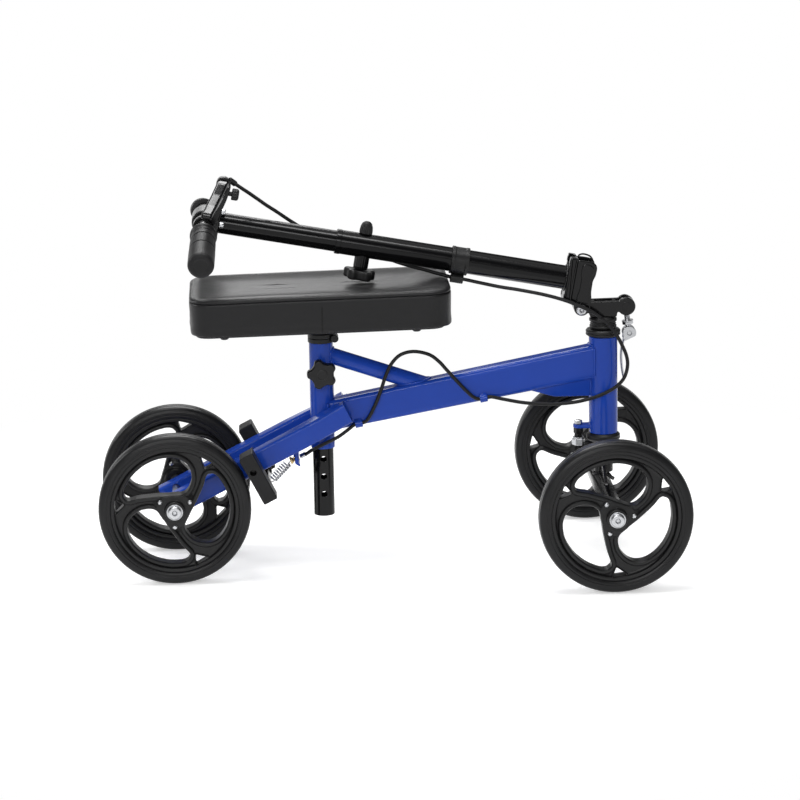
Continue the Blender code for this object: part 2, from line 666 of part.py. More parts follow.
def handlebar_parts(handle):
    bore = [(INNER_RADIUS, 488), (INNER_RADIUS, 135), (12.4, 135), (12.4, 488)]
    tube = turned(handle, "inner_tube", bore, black_paint(), placed((COLUMN_OFFSET, 0, 0)), 24, True)
    for k in range(5):
        u = KNOB_U + 27.5 * k
        cut(tube, pipe(handle, "height_hole", (10, 0, u), (COLUMN_OFFSET, 0, u), 4.4, 0, None, 10, True))
    ys = [-197, -62, -58, 58, 62, 197]
    bar = swept(handle, "handlebar", [bar_point(y) for y in ys], BAR_RADIUS, black_paint(), 4)
    flange = [(0, 500), (20, 500), (22.8, 497), (22.8, 490), (21.5, 488.4), (12, 488.4), (12, 470), (0, 470)]
    head = turned(handle, "bar_clamp", flange, black_plastic(), placed((COLUMN_OFFSET, 0, 0)), 20)
    weld(head, pipe(handle, "clamp_shell", (BAR_V, -21, BAR_U), (BAR_V, 21, BAR_U), 16.6, 0, None, 20, True))
    bore = [(BAR_V, -40, BAR_U), (BAR_V, 40, BAR_U)]
    cut(head, pipe(handle, "bar_bore", *bore, BAR_RADIUS + 0.4, 0, None, 20, True))
    bolt = [(0, 5.6), (3.4, 5.6), (4.2, 4.4), (4.2, 0), (0, 0)]
    for name, v, y in (("clamp_bolt_upper", 51.9, -9.4), ("clamp_bolt_lower", 36.2, -18.8)):
        turned(handle, name, bolt, bright_steel(), placed((v, y, 488.1), (0, 0, -1)), 12)


def grips(handle):
    """Hand grips with a flange and grooves at the inner end and a closed outer end."""
    for side, name in ((-1, "grip_right"), (1, "grip_left")):
        start = Vector(bar_point(side * 66))
        end = Vector(bar_point(side * 205))
        length = (end - start).length
        profile = [
            (0, length), (14.5, length), (17.3, length - 4), (16.6, 24), (16, 12), (18.2, 6), (18.2, 0),
            (11.5, 0), (11.5, length - 6.6), (0, length - 6.6),
        ]
        turned(handle, name, profile, black_rubber(), placed(start, end - start), 18)


def brake_lever(handle, lever, button):
    """The lever bracket on the right of the bar, its blade in front of the grip, and the lock button."""
    run = [(BAR_V, -57, BAR_U), (BAR_V, -43.5, BAR_U)]
    ring = pipe(handle, "brake_bracket", *run, 16.2, 0, black_plastic(), 20)
    arm = [
        (BAR_V + 4, BAR_U + 6), (88, 498), (98, 499.5), (103, 497), (104, 492), (100, 485), (92, 482.6),
        (76, 485.5), (BAR_V + 2, BAR_U - 13),
    ]
    weld(ring, plate(handle, "bracket_arm", arm, 12, None, -50.2, True))
    cut(ring, pipe(handle, "bracket_bore", (BAR_V, -80, BAR_U), (BAR_V, -20, BAR_U), 11.7, 0, None, 20, True))
    cut(ring, pipe(handle, "button_bore", (84, -50.2, 470), (84, -50.2, 491), 3.6, 0, None, 12, True))
    blade = [
        (-59.5, 97), (-63, 101), (-70, 100), (-100, 88.5), (-130, 78), (-152, 71), (-156, 67),
        (-154, 63), (-149, 63.2), (-128, 70), (-98, 80), (-70, 89), (-59.5, 88),
    ]
    outline = [(v, y + 58) for y, v in blade]
    tilt = Matrix.Translation(scaled((0, -58, 491.5))) @ Matrix.Rotation(radians(-11), 4, "X")
    bevel(extruded(lever, "brake_lever", outline, 12, black_paint(), tilt), 1.4, 1)
    cap = [(0, 8), (5, 7.6), (6.4, 6), (6.4, 0), (3, 0), (3, -8), (0, -8)]
    turned(button, "brake_lock_button", cap, black_plastic(), placed((84, -50.2, 480.2), (0, 0, -1)), 16)


# Seat


def seat_parts(seat):
    """Post, plate and board below the pad."""
    profile = [(POST_RADIUS, POST_TOP), (POST_RADIUS, POST_BOTTOM), (12, POST_BOTTOM), (12, POST_TOP)]
    post = turned(seat, "seat_post", profile, black_paint(), placed((SEAT_TUBE_X, 0, 0)), 20, True)
    for k in range(8):
        z = 95 + 24 * k
        start = (SEAT_TUBE_X, -5, z)
        cut(post, pipe(seat, "post_hole", start, (SEAT_TUBE_X, -20, z), 4, 0, None, 10, True))
    tip = Matrix.Translation(scaled((SEAT_TUBE_X, 0, 330))) @ Matrix.Rotation(radians(SEAT_TILT), 4, "Y")
    tip = tip @ Matrix.Translation(scaled((-SEAT_TUBE_X, 0, -330)))
    tilted = Group(seat.empty, seat.frame @ tip)
    bevel(box(tilted, "seat_plate", (-146, -45, 322.9), (-26, 45, 326.9), black_paint()), 1, 1)
    middle = placed((-88, 0, 331.6))
    board = extruded(tilted, "seat_board", rounded(322, 184, 18, 4), 8.6, black_plastic(), middle)
    for x in (-213, 37):
        for y in (-80, 80):
            foot = [(0, 328.5), (6.5, 328.5), (6.5, 326), (4.5, 323.4), (0, 323)]
            weld(board, turned(tilted, "board_foot", foot, None, placed((x, y, 0)), 12, False, True))
    knee_pad(tilted)


def rounded(length, width, radius, steps):
    """A rectangle with rounded corners, as (x, y) points."""
    found = []
    for quarter, (sx, sy) in enumerate(((1, 1), (-1, 1), (-1, -1), (1, -1))):
        x = sx * (length / 2 - radius)
        y = sy * (width / 2 - radius)
        found += arc(x, y, radius, 90 * quarter, 90 * quarter + 90, steps + 1)
    return found


def knee_pad(owner):
    """A crowned pad with drawn-in sides and a welt round its top, as rings of points."""
    rings = [
        (PAD_BOTTOM, 7), (PAD_BOTTOM + 1.2, 2.4), (342, 0.6), (349, 1.2), (357, 1.7), (366, 1.2),
        (372.5, 0.2), (374.6, 0), (PAD_SEAM, 0.9), (PAD_SEAM - 0.2, 3.2), (377.2, 9), (378, 26),
        (PAD_TOP, 52),
    ]
    shape = bmesh.new()
    loops = []
    for z, inset in rings:
        outline = rounded(PAD_LENGTH - 2 * inset, PAD_WIDTH - 2 * inset, max(24 - inset, 6), 5)
        loops.append([shape.verts.new(scaled((x - 88, y, z))) for x, y in outline])
    for low, high in zip(loops, loops[1:]):
        for i in range(len(low)):
            j = (i + 1) % len(low)
            shape.faces.new((low[i], low[j], high[j], high[i]))
    shape.faces.new(loops[0][::-1])
    shape.faces.new(loops[-1])
    bmesh.ops.recalc_face_normals(shape, faces=shape.faces)
    data = bpy.data.meshes.new("knee_pad")
    shape.to_mesh(data)
    shape.free()
    add(owner, "knee_pad", data, black_vinyl())


# Cables


def cables(frame, steering, column, handle):
    """The brake cable in four runs: lever to clip, past the fold, past the steering, along the frame."""
    lever_run = [
        (99.6, -45.0, 482.2), (93.5, -42.0, 469), (85.4, -37.0, 455.8), (77.5, -30.0, 441.4),
        (69.1, -22.0, 426.8), (61.8, -12.0, 410), (57.0, 0.0, 392), (53.0, 10.0, 372), (44.0, 17.6, 345),
        (33.0, 19.2, 310), (22.0, 15.6, 272), (14.2, 8.0, 235), (12.4, 1.0, 207), (12.6, -4.0, 186),
        (12.6, -4.0, 168.3),
    ]
    swept(handle, "lever_cable", lever_run, CABLE_RADIUS, black_rubber(), 2)
    fold_run = [
        (12.6, -4, 168.0), (12.6, -4.0, 158), (12.0, -7.0, 138), (12.0, -14.0, 111), (12.9, -19.0, 84.9),
        (12.5, -23.5, 52), (10, -27.0, 24.7), (4.7, -28.6, -0.2), (0.2, -28.6, -14.5), (-5.2, -28.6, -26.0),
    ]
    swept(column, "fold_cable", fold_run, CABLE_RADIUS, black_rubber(), 2)
    steer_run = [
        (282.8, -28.6, 327.4), (292.9, -28.6, 318.1), (302.1, -28.2, 305.6), (310.2, -27.0, 290.4),
        (316.3, -26.0, 275.1), (317.7, -25.0, 261.3), (313.8, -24.2, 246.3), (305.1, -24.2, 235.6),
        (293.1, -24.2, 227.8), (278.5, -24.2, 221.4), (261.2, -24.0, 216.5), (241.3, -23.0, 213.0),
        (214.9, -21.0, 211.6), (181.8, -19.5, 213.9), (155.3, -18.8, 219.0), (138.5, -18.4, 222.8),
        (132.2, -18.4, 222.4), (127.2, -18.4, 221.5),
    ]
    swept(steering, "steer_cable", steer_run, CABLE_RADIUS, black_rubber(), 2)
    frame_run = [
        (126.8, -18.4, 221.4), (121.0, -18.4, 220.5), (113.5, -19.0, 223.6), (103, -19.5, 233.5),
        (89.3, -19.5, 248.8), (78, -19.5, 262), (68.4, -19.5, 273.1), (55.3, -19.5, 282.9),
        (35.6, -19.5, 287.5), (18.4, -19.5, 283.9), (6.3, -19.5, 272.8), (-1.9, -19.5, 256.8),
        (-8.9, -19.5, 236.6), (-15.8, -19.5, 219.2), (-23.5, -19.5, 203.5), (-29, -18.9, 195.2),
        (-34.0, -18.4, 192.4), (-39.0, -18.4, 191.6), (-44.6, -18.4, 190.4), (-52.5, -19.0, 184.5),
        (-67.0, -20.5, 174.6), (-84.4, -20.8, 166.2), (-100, -16.0, 157.6), (-108, -6.0, 150.0),
        (-112.0, -1.8, 147.2), (-116.0, -0.2, 144.9),
    ]
    swept(frame, "frame_cable", frame_run, CABLE_RADIUS, black_rubber(), 2)


def build():
    clear_scene()
    frame = group("frame_origin", (0, 0, 0))
    steering = group("steering_axis", (STEER_X, 0, 300), frame)
    swing = group("swing_bolt_axis", PIN, steering)
    lever = group("cam_lever_axis", CAM_PIVOT, swing)
    tip = Matrix.Translation(scaled(FOLD_PIVOT)) @ Matrix.Rotation(radians(-FOLD_ANGLE), 4, "Y")
    column = group("column_fold_axis", (0, 0, 0), steering, tip)
    column_knob = group("height_knob_axis", (0, 0, KNOB_U), column, tip)
    handle = group("handle_slide", (COLUMN_OFFSET, 0, BAR_U), column, tip)
    squeeze = group("brake_lever_axis", (92, -60, 492), handle, tip)
    button = group("lock_button_slide", (84, -50.2, 480.2), handle, tip)
    seat = group("seat_slide", (SEAT_TUBE_X, 0, 312), frame)
    seat_knob = group("seat_knob_axis", (SEAT_TUBE_X, -24, 263), frame)
    brake = group("brake_shoe_axis", SHOE_PIVOT, frame)

    head_tube(frame)
    main_beam(frame)
    seat_tube(frame)
    rear_rails(frame)
    rear_axle(frame)
    brake_spring(frame)
    rear_brake(brake)
    steering_parts(steering)
    fold_bracket(steering)
    swing_bolt(swing, lever)
    column_foot(column)
    outer_tube(column)
    star_knob(column_knob, "height_knob", (5.8, 0, KNOB_U), (1, 0, 0), 15.3, 13.5, 21, 0.3)
    handlebar_parts(handle)
    grips(handle)
    brake_lever(handle, squeeze, button)
    seat_parts(seat)
    star_knob(seat_knob, "seat_knob", (SEAT_TUBE_X, -24.4, 263), (0, 1, 0), 10.0, 14, 20, 0.1)
    cables(frame, steering, column, handle)

    rear, front = REAR_TRACK / 2, FRONT_TRACK / 2
    for name, x, y, owner, phase in (
        ("rear_right_wheel", -AXLE_X, -rear, frame, 62.7),
        ("rear_left_wheel", -AXLE_X, rear, frame, 107.0),
        ("front_right_wheel", AXLE_X, -front, steering, 40.0),
        ("front_left_wheel", AXLE_X, front, steering, 15.2),
    ):
        hub = group(name + "_axis", (x, y, WHEEL_RADIUS), owner)
        wheel(hub, name, (x, y, WHEEL_RADIUS), y, phase)


build()
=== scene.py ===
"""Folding knee walker: the looks of every piece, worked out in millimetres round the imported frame.

+X is forward, +Y is the rider's left and +Z is up. The column, its foot and the handlebar are drawn
in a frame of their own that starts at the fold pivot: v points away from the rider, u up the column.
"""

import json
from collections import namedtuple
from math import cos, pi, radians, sin

import bpy
import numpy as np
from bpy.props import FloatProperty, FloatVectorProperty, PointerProperty
from mathutils import Matrix, Vector


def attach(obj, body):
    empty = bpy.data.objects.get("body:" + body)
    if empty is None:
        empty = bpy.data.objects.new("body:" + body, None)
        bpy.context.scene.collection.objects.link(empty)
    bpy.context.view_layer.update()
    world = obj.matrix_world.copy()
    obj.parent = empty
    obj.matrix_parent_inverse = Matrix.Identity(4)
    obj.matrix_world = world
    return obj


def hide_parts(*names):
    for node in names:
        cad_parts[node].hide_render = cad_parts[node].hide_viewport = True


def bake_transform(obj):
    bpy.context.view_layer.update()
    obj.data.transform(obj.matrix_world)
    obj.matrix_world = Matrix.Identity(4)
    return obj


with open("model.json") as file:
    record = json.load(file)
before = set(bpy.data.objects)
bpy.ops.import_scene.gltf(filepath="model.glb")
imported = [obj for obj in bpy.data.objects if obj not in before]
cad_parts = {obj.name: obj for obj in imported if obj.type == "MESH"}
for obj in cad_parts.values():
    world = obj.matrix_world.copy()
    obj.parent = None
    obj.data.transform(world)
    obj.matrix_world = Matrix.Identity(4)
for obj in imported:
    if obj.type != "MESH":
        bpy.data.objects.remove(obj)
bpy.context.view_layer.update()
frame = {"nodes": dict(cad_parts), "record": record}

bl_info = {
    "name": "Folding knee walker",
    "version": (1, 0, 0),
    "blender": (4, 5, 0),
    "location": "View3D > Sidebar > Walker",
    "description": "Makes the pieces, finishes and stage of a folding knee walker",
    "category": "Object",
}

MM = 0.001
X = np.array((1.0, 0.0, 0.0))
Y = np.array((0.0, 1.0, 0.0))
Z = np.array((0.0, 0.0, 1.0))

# Stance
AXLE_X = 284.0
HEAD_RADIUS = 19.0
SEAT_RADIUS = 15.9
RAIL_SLOPE = 0.5036
CABLE_LOOPS = ((127.0, 221.4), (-39.0, 191.6))
STOP_SCREW = np.array((254.5, 0.0, 0.0))
WHEEL_RADIUS = 100.0
REAR_TRACK = 165.0
FRONT_TRACK = 368.0
STEER_X = 288.0
SEAT_TUBE_X = -86.5
PIN = np.array((318.0, 0.0, 339.0))
CAM = np.array((322.5, 0.0, 302.0))
SHOE_PIVOT = (-180.5, 148.5)

# Column
FOLD_PIVOT = np.array((257.5, 0.0, 338.0))
LEAN = radians(79.4)
UP_COLUMN = np.array((-sin(LEAN), 0.0, cos(LEAN)))
AWAY = np.array((cos(LEAN), 0.0, sin(LEAN)))
COLUMN_OFFSET = 35.7
COLUMN_RADIUS = 15.9
INNER_RADIUS = 14.0
KNOB_U = 296.0
KNOB_HOLE = 4.4
HOLE_PITCH = 27.5
BAR_V = 36.0
BAR_U = 508.0
BAR_RADIUS = 11.1
BAR_BORE = 11.4

# Seat
SEAT_KNOB_Z = 263.0
PAD_X = -86.5
POST_TOP = 330.0
POST_PITCH = 24.0
SWELL_FRAMES = 20

# Brake
LEVER_Y = -50.2
SPRING_TURNS = 8

Shell = namedtuple("Shell", "points faces")
Place = namedtuple("Place", "origin a b c")

SIDE = Place(np.zeros(3), X, Z, Y)
TOP = Place(np.zeros(3), X, Y, Z)
FRONT = Place(np.array((AXLE_X, 0.0, 0.0)), Y, Z, X)
COLUMN = Place(FOLD_PIVOT, AWAY, Y, UP_COLUMN)
COLUMN_SIDE = Place(FOLD_PIVOT, AWAY, UP_COLUMN, Y)


# Surfaces


def unit(rows):
    """Each row over its own length."""
    rows = np.asarray(rows, float)
    return rows / np.linalg.norm(rows, axis=-1, keepdims=True)


def put(place, points):
    """origin + p0 a + p1 b + p2 c, for points in the place's own coordinates."""
    points = np.asarray(points, float)
    p, q, r = (points[..., k:k + 1] for k in range(3))
    return place.origin + p * place.a + q * place.b + r * place.c


def six_volumes(a, b, c):
    """Sum of a . (b x c), six times the volume between triangles and the origin."""
    return float(np.sum(a * np.cross(b, c)))


def skin(rings, ends="cap"):
    """Four-sided faces between rings of points (rows, columns, 3), each ring closed on itself. The first
    and last ring are capped, or joined as on a hoop. Faces turn outward by the sign of the volume."""
    rows, columns = rings.shape[:2]
    points = rings.reshape(-1, 3)
    index = np.arange(rows * columns).reshape(rows, columns)
    rail = np.vstack([index, index[:1]]) if ends == "join" else index
    near, far = rail[:-1], rail[1:]
    quads = np.stack([near, np.roll(near, -1, 1), np.roll(far, -1, 1), far], -1).reshape(-1, 4)
    caps = [] if ends == "join" else [index[0][::-1], index[-1]]
    p, q, r, s = (points[quads[:, k]] for k in range(4))
    volume = six_volumes(p, q, r) + six_volumes(p, r, s)
    for cap in caps:
        volume += six_volumes(points[cap[:1]], points[cap[1:-1]], points[cap[2:]])
    turn = slice(None, None, -1 if volume < 0 else 1)
    return Shell(points, quads[:, turn].tolist() + [cap[turn].tolist() for cap in caps])


def eased(points, radius=1.0, closed=False, steps=4):
    """Every corner gives way to a curve (1-t)^2 a + 2t(1-t) corner + t^2 b, where a and b lie the radius
    away along its two sides, or just short of halfway. The ends of an open line stay."""
    p = np.asarray(points, float)
    before, after = np.roll(p, 1, 0), np.roll(p, -1, 0)
    if not closed:
        before[0], after[-1] = p[0], p[-1]
    near = []
    for gap in (before - p, after - p):
        length = np.linalg.norm(gap, axis=1, keepdims=True)
        near.append(p + gap * np.minimum(radius / np.maximum(length, 1e-9), 0.47))
    t = np.linspace(0, 1, steps + 1)[:, None, None]
    curve = ((1 - t) ** 2 * near[0] + 2 * t * (1 - t) * p + t**2 * near[1]).transpose(1, 0, 2)
    if closed:
        return curve.reshape(-1, p.shape[1])
    return np.vstack([p[:1], curve[1:-1].reshape(-1, p.shape[1]), p[-1:]])


def flow(points, per_span=5):
    """A smooth line through the points: on each span, the cubic that its four nearest points set."""
    p = np.asarray(points, float)
    p = np.vstack([2 * p[0] - p[1], p, 2 * p[-1] - p[-2]])
    a, b, c, d = p[:-3], p[1:-2], p[2:-1], p[3:]
    t = np.linspace(0, 1, per_span, endpoint=False)[:, None, None]
    rise = (c - a) * t + (2 * a - 5 * b + 4 * c - d) * t**2 + (3 * b - a - 3 * c + d) * t**3
    curve = b + 0.5 * rise
    return np.vstack([curve.transpose(1, 0, 2).reshape(-1, p.shape[1]), p[-2:-1]])


def circle(radius=1.0, steps=16, turn=0.0):
    """radius (cos a, sin a) for equal steps of a."""
    a = np.linspace(0, 2 * pi, steps, endpoint=False) + turn
    return radius * np.stack([np.cos(a), np.sin(a)], -1)


def arc(x, z, radius, start, end, count):
    """Points on part of a circle, angles in degrees."""
    a = np.radians(np.linspace(start, end, count))
    return np.stack([x + radius * np.cos(a), z + radius * np.sin(a)], -1)


def oblong(length, width, radius, steps=6):
    """A rectangle about the origin with rounded corners."""
    x, y = length / 2, width / 2
    return eased([(x, y), (-x, y), (-x, -y), (x, -y)], radius * 1.2, True, steps)


def across(axis):
    """Two directions square to an axis and to each other."""
    axis = unit(axis)
    first = unit(np.cross(Y if abs(axis[1]) < 0.9 else X, axis))
    return first, np.cross(axis, first)


def revolve(profile, at, axis=Z, steps=72, ring=False, turn=0.0):
    """A profile point (r, h) sweeps round: at + h axis + r (cos a e + sin a f)."""
    profile = np.asarray(profile, float)
    axis = unit(axis)
    e, f = across(axis)
    round_it = circle(1, steps, turn)
    spokes = round_it[:, :1] * e + round_it[:, 1:] * f
    radii = np.maximum(profile[:, 0], 0.02)[:, None, None]
    rings = np.asarray(at, float) + profile[:, 1, None, None] * axis + radii * spokes
    return skin(rings, "join" if ring else "cap")


def turned(profile, easing, at, axis=Z, steps=72, ring=False):
    """A profile with eased corners, revolved."""
    return revolve(eased(profile, easing, ring), at, axis, steps, ring)


def tube(start, end, outer, bore=0.0, edge=0.8, steps=48):
    """A straight round tube or bar with eased rims, by revolving its section."""
    run = np.subtract(end, start).astype(float)
    length = np.linalg.norm(run)
    if bore:
        section = [(outer, length), (outer, 0), (bore, 0), (bore, length)]
    else:
        section = [(0, length), (outer, length), (outer, 0), (0, 0)]
    return turned(section, edge, start, run, steps, bool(bore))


def carried(path, section, up=Y):
    """A section (a, b) carried along a path: point + a side + b over, with side = up x tangent and
    over = tangent x side. A section may differ from row to row."""
    path = np.asarray(path, float)
    tangent = unit(np.gradient(path, axis=0))
    side = unit(np.cross(up, tangent))
    over = np.cross(tangent, side)
    section = np.asarray(section, float)
    section = section[None] if section.ndim == 2 else section
    return skin(path[:, None] + section[..., :1] * side[:, None] + section[..., 1:] * over[:, None])


def distance_run(path):
    """The distance run along a path at each of its points."""
    return np.concatenate([[0], np.cumsum(np.linalg.norm(np.diff(path, axis=0), axis=1))])


def cord_along(path, radius, up=Y, steps=14, tip=0.0):
    """A round cord along a path. With a tip, its ends draw in as a quarter circle of that length."""
    path = np.asarray(path, float)
    section = circle(radius, steps)[None]
    if tip:
        run = distance_run(path)
        close = np.clip(np.minimum(run, run[-1] - run) / tip, 0, 1)
        section = section * np.sqrt(np.maximum(1 - (1 - close) ** 2, 0.01))[:, None, None]
    return carried(path, section, up)


def slab(outline, low, high, edge=0.8, place=SIDE, steps=3):
    """A flat outline between two heights with rounded rims: it draws in by edge (1 - sin a) while the
    height runs edge (1 - cos a) from either face."""
    p = np.asarray(outline, float)
    after = np.roll(p, -1, 0)
    if np.sum(p[:, 0] * after[:, 1] - p[:, 1] * after[:, 0]) < 0:
        p = p[::-1]
    forward = unit(np.roll(p, -1, 0) - p)
    inward = np.stack([-forward[:, 1], forward[:, 0]], -1)
    both = inward + np.roll(inward, 1, 0)
    both /= np.maximum(1 + np.sum(inward * np.roll(inward, 1, 0), 1, keepdims=True), 0.35)
    a = np.linspace(0, pi / 2, steps + 1)
    inset = edge * (1 - np.sin(a))
    rise = edge * (1 - np.cos(a))
    insets = np.concatenate([inset, inset[::-1]])
    heights = np.concatenate([low + rise, (high - rise)[::-1]])
    flat = p[None] + insets[:, None, None] * both[None]
    level = np.broadcast_to(heights[:, None, None], (len(heights), len(p), 1))
    return skin(put(place, np.concatenate([flat, level], -1)))


def plate(outline, easing, low, high, edge=0.8, place=SIDE, steps=3):
    """A slab whose outline has eased corners."""
    return slab(eased(outline, easing, True), low, high, edge, place, steps)


def bead(path, radius=1.9, up=Y):
    """A weld: a cord whose radius ripples with the distance run, over flat ends."""
    path = flow(path, 10)
    ripple = radius * (1 + 0.1 * np.cos(distance_run(path) * 3.1))
    return carried(path, ripple[:, None, None] * circle(1, 10)[None], up)


def sides(near, far):
    """Right, then left: the side's sign, and two distances from the middle plane in rising order."""
    for side in (-1, 1):
        yield side, *sorted((side * near, side * far))


def hex_collar(x, z, radius, low, high, easing):
    """A six-sided collar on an axle at (x, z), between two values of y."""
    return turned([(0, high), (radius, high), (radius, low), (0, low)], easing, (x, 0, z), Y, 6)


def socket_head(rim, easing, hexagon, at, axis, steps=48):
    """A round head turned from its rim, which starts at the recess, with a six-sided socket in it."""
    recess, height = rim[0]
    head = revolve(np.vstack([[(recess, height - 2.2)], eased(rim, easing)]), at, axis, steps)
    wide, narrow = hexagon
    socket = [(wide, height - 0.1), (narrow, height - 2.1), (wide, height - 2.1)]
    return [head, revolve(socket, at, axis, 6, True)]


def thread(start, end, radius, pitch=1.6, steps=20):
    """A bar whose radius rises and falls once a pitch, as a cut thread does in side view."""
    run = np.subtract(end, start).astype(float)
    length = np.linalg.norm(run)
    h = np.linspace(0, length, int(length / pitch * 4) + 1)
    r = radius - 0.35 * np.abs(np.sin(pi * h / pitch))
    profile = np.stack([np.concatenate([[0.0], r, [0.0]]), np.concatenate([[0.0], h, [length]])], -1)
    return revolve(profile, start, run, steps)


def carve(shell, cutters):
    """The shell less the cutters, by the exact Boolean, with the helpers cleared away."""
    helpers = []
    for number, part in enumerate([shell, *cutters]):
        mesh = bpy.data.meshes.new("helper")
        mesh.from_pydata(part.points.tolist(), [], part.faces)
        helper = bpy.data.objects.new(f"helper{number}", mesh)
        bpy.context.scene.collection.objects.link(helper)
        helpers.append(helper)
    for cutter in helpers[1:]:
        step = helpers[0].modifiers.new("Cut", "BOOLEAN")
        step.operation = "DIFFERENCE"
        step.solver = "EXACT"
        step.object = cutter
    graph = bpy.context.evaluated_depsgraph_get()
    result = bpy.data.meshes.new_from_object(helpers[0].evaluated_get(graph))
    points = np.zeros(len(result.vertices) * 3)
    result.vertices.foreach_get("co", points)
    faces = [list(face.vertices) for face in result.polygons]
    bpy.data.meshes.remove(result)
    for helper in helpers:
        mesh = helper.data
        bpy.data.objects.remove(helper)
        bpy.data.meshes.remove(mesh)
    if not faces:
        raise RuntimeError("a cut left nothing")
    return Shell(points.reshape(-1, 3), faces)


def moved(shell, place):
    """The shell's points, taken as local, put in a place."""
    return Shell(put(place, shell.points), shell.faces)


def piece(name, shells, slot, body=None, nodes=(), finish=None, sharp=38):
    """One object from closed shells in millimetres, shaded smooth up to the sharp angle. A piece made
    without a body is left unattached."""
    starts = np.cumsum([0] + [len(shell.points) for shell in shells])
    points = np.concatenate([shell.points for shell in shells]) * MM
    faces = [
        [i + start for i in face] for shell, start in zip(shells, starts.tolist()) for face in shell.faces
    ]
    mesh = bpy.data.meshes.new(name)
    mesh.from_pydata(points.tolist(), [], faces)
    mesh.shade_smooth()
    mesh.set_sharp_from_angle(angle=radians(sharp))
    mesh.materials.append(finishes()[finish or slot])
    made = bpy.data.objects.new(name, mesh)
    bpy.context.scene.collection.objects.link(made)
    if body:
        even = made.modifiers.new("Even shading", "WEIGHTED_NORMAL")
        even.keep_sharp = True
        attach(made, body)
    if nodes:
        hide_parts(*nodes)
    return made


# Finishes


class Value:
    """A socket that adds, multiplies and so on: each operator adds its Math node."""

    def __init__(self, tree, socket):
        self.tree = tree
        self.socket = socket

    def math(self, operation, *values):
        """A Math node with these values or links."""
        node = self.tree.nodes.new("ShaderNodeMath")
        node.operation = operation
        for socket, value in zip(node.inputs, values):
            if isinstance(value, Value):
                self.tree.links.new(value.socket, socket)
            else:
                socket.default_value = value
        return Value(self.tree, node.outputs[0])

    def other(self, name):
        """Another output of the same node."""
        return Value(self.tree, self.socket.node.outputs[name])

    def size(self):
        """The value without its sign."""
        return self.math("ABSOLUTE", self)

    def __add__(self, other):
        return self.math("ADD", self, other)

    def __radd__(self, other):
        return self.math("ADD", other, self)

    def __sub__(self, other):
        return self.math("SUBTRACT", self, other)

    def __rsub__(self, other):
        return self.math("SUBTRACT", other, self)

    def __mul__(self, other):
        return self.math("MULTIPLY", self, other)

    def __rmul__(self, other):
        return self.math("MULTIPLY", other, self)

    def __pow__(self, other):
        return self.math("POWER", self, other)


class Nodes:
    """A node tree and the one way that nodes are added to it."""

    def __init__(self, tree):
        self.tree = tree

    def node(self, kind, settings=None, inputs=None, out=0):
        """Adds a node: its settings first, then the values or links of its sockets."""
        node = self.tree.nodes.new(kind)
        for key, value in (settings or {}).items():
            if key == "stops":
                for _ in range(len(value) - 2):
                    node.color_ramp.elements.new(0.5)
                for stop, (at, colour) in zip(node.color_ramp.elements, value):
                    stop.position = at
                    stop.color = (*colour, 1.0)
            else:
                setattr(node, key, value)
        for key, value in (inputs or {}).items():
            self.fill(node.inputs[key], value)
        return Value(self.tree, node.outputs[out]) if node.outputs else node

    def fill(self, socket, value):
        """Links a socket to a value, or gives it a constant."""
        if isinstance(value, Value):
            self.tree.links.new(value.socket, socket)
        elif socket.type == "RGBA":
            socket.default_value = (*value, 1.0)
        else:
            socket.default_value = value

    def seen(self):
        """1 for the rays that see the background: first camera and glass rays, then mirror rays."""
        camera = self.node("ShaderNodeLightPath", out="Is Camera Ray")
        clear = camera.math("MAXIMUM", camera, camera.other("Is Transmission Ray"))
        return clear, camera.other("Is Glossy Ray")


class Finish(Nodes):
    """A material on the surface shader."""

    def __init__(self, name):
        self.material = bpy.data.materials.new(name)
        self.material.use_nodes = True
        super().__init__(self.material.node_tree)
        self.shader = self.tree.nodes["Principled BSDF"]

    def place(self, scale=(1, 1, 1)):
        """Object coordinates, stretched along the axes."""
        coordinates = self.node("ShaderNodeTexCoord", out=3)
        return self.node("ShaderNodeMapping", inputs={"Vector": coordinates, "Scale": scale})

    def noise(self, scale, detail=2.0, stretch=(1, 1, 1)):
        """Cloudy noise from 0 to 1."""
        form = {"Vector": self.place(stretch), "Scale": scale, "Detail": detail}
        return self.node("ShaderNodeTexNoise", inputs=form)

    def fade(self, value, near, far, start=0.0, end=1.0):
        """A smooth change from start to end while the value runs from near to far."""
        span = {"Value": value, "From Min": near, "From Max": far, "To Min": start, "To Max": end}
        return self.node("ShaderNodeMapRange", {"interpolation_type": "SMOOTHSTEP"}, span)

    def between(self, factor, first, second):
        """A colour between two colours."""
        return self.node("ShaderNodeMix", {"data_type": "RGBA"}, {0: factor, 6: first, 7: second}, 2)

    def bump(self, height, strength, distance=0.0005):
        """A normal from a height."""
        sizes = {"Height": height, "Strength": strength, "Distance": distance}
        return self.node("ShaderNodeBump", inputs=sizes)

    def set(self, **inputs):
        """Sockets of the surface shader, with spaces written as underscores."""
        for key, value in inputs.items():
            self.fill(self.shader.inputs[key.replace("_", " ")], value)
        return self.material


def shaded(colour, share):
    """A share of a colour."""
    return tuple(share * c for c in colour)


def gloss_paint(name, colour, deep, roughness, coat, specular, lumps=0.03):
    """Sprayed gloss enamel: a clear coat over a colour that pools a little, with orange peel or cast
    lumps. Where it pools, it has the deep share of its colour."""
    finish = Finish(name)
    pool = finish.noise(24.0, 3.0)
    peel = finish.noise(700.0, 2.0)
    dust = finish.noise(260.0, 4.0)
    return finish.set(
        Base_Color=finish.between(pool, shaded(colour, deep), colour),
        Roughness=roughness + 0.08 * (dust ** 2.0),
        Specular_IOR_Level=specular,
        Coat_Weight=coat,
        Coat_Roughness=0.05,
        Normal=finish.bump(peel + 0.3 * pool, lumps, 0.0004),
    )


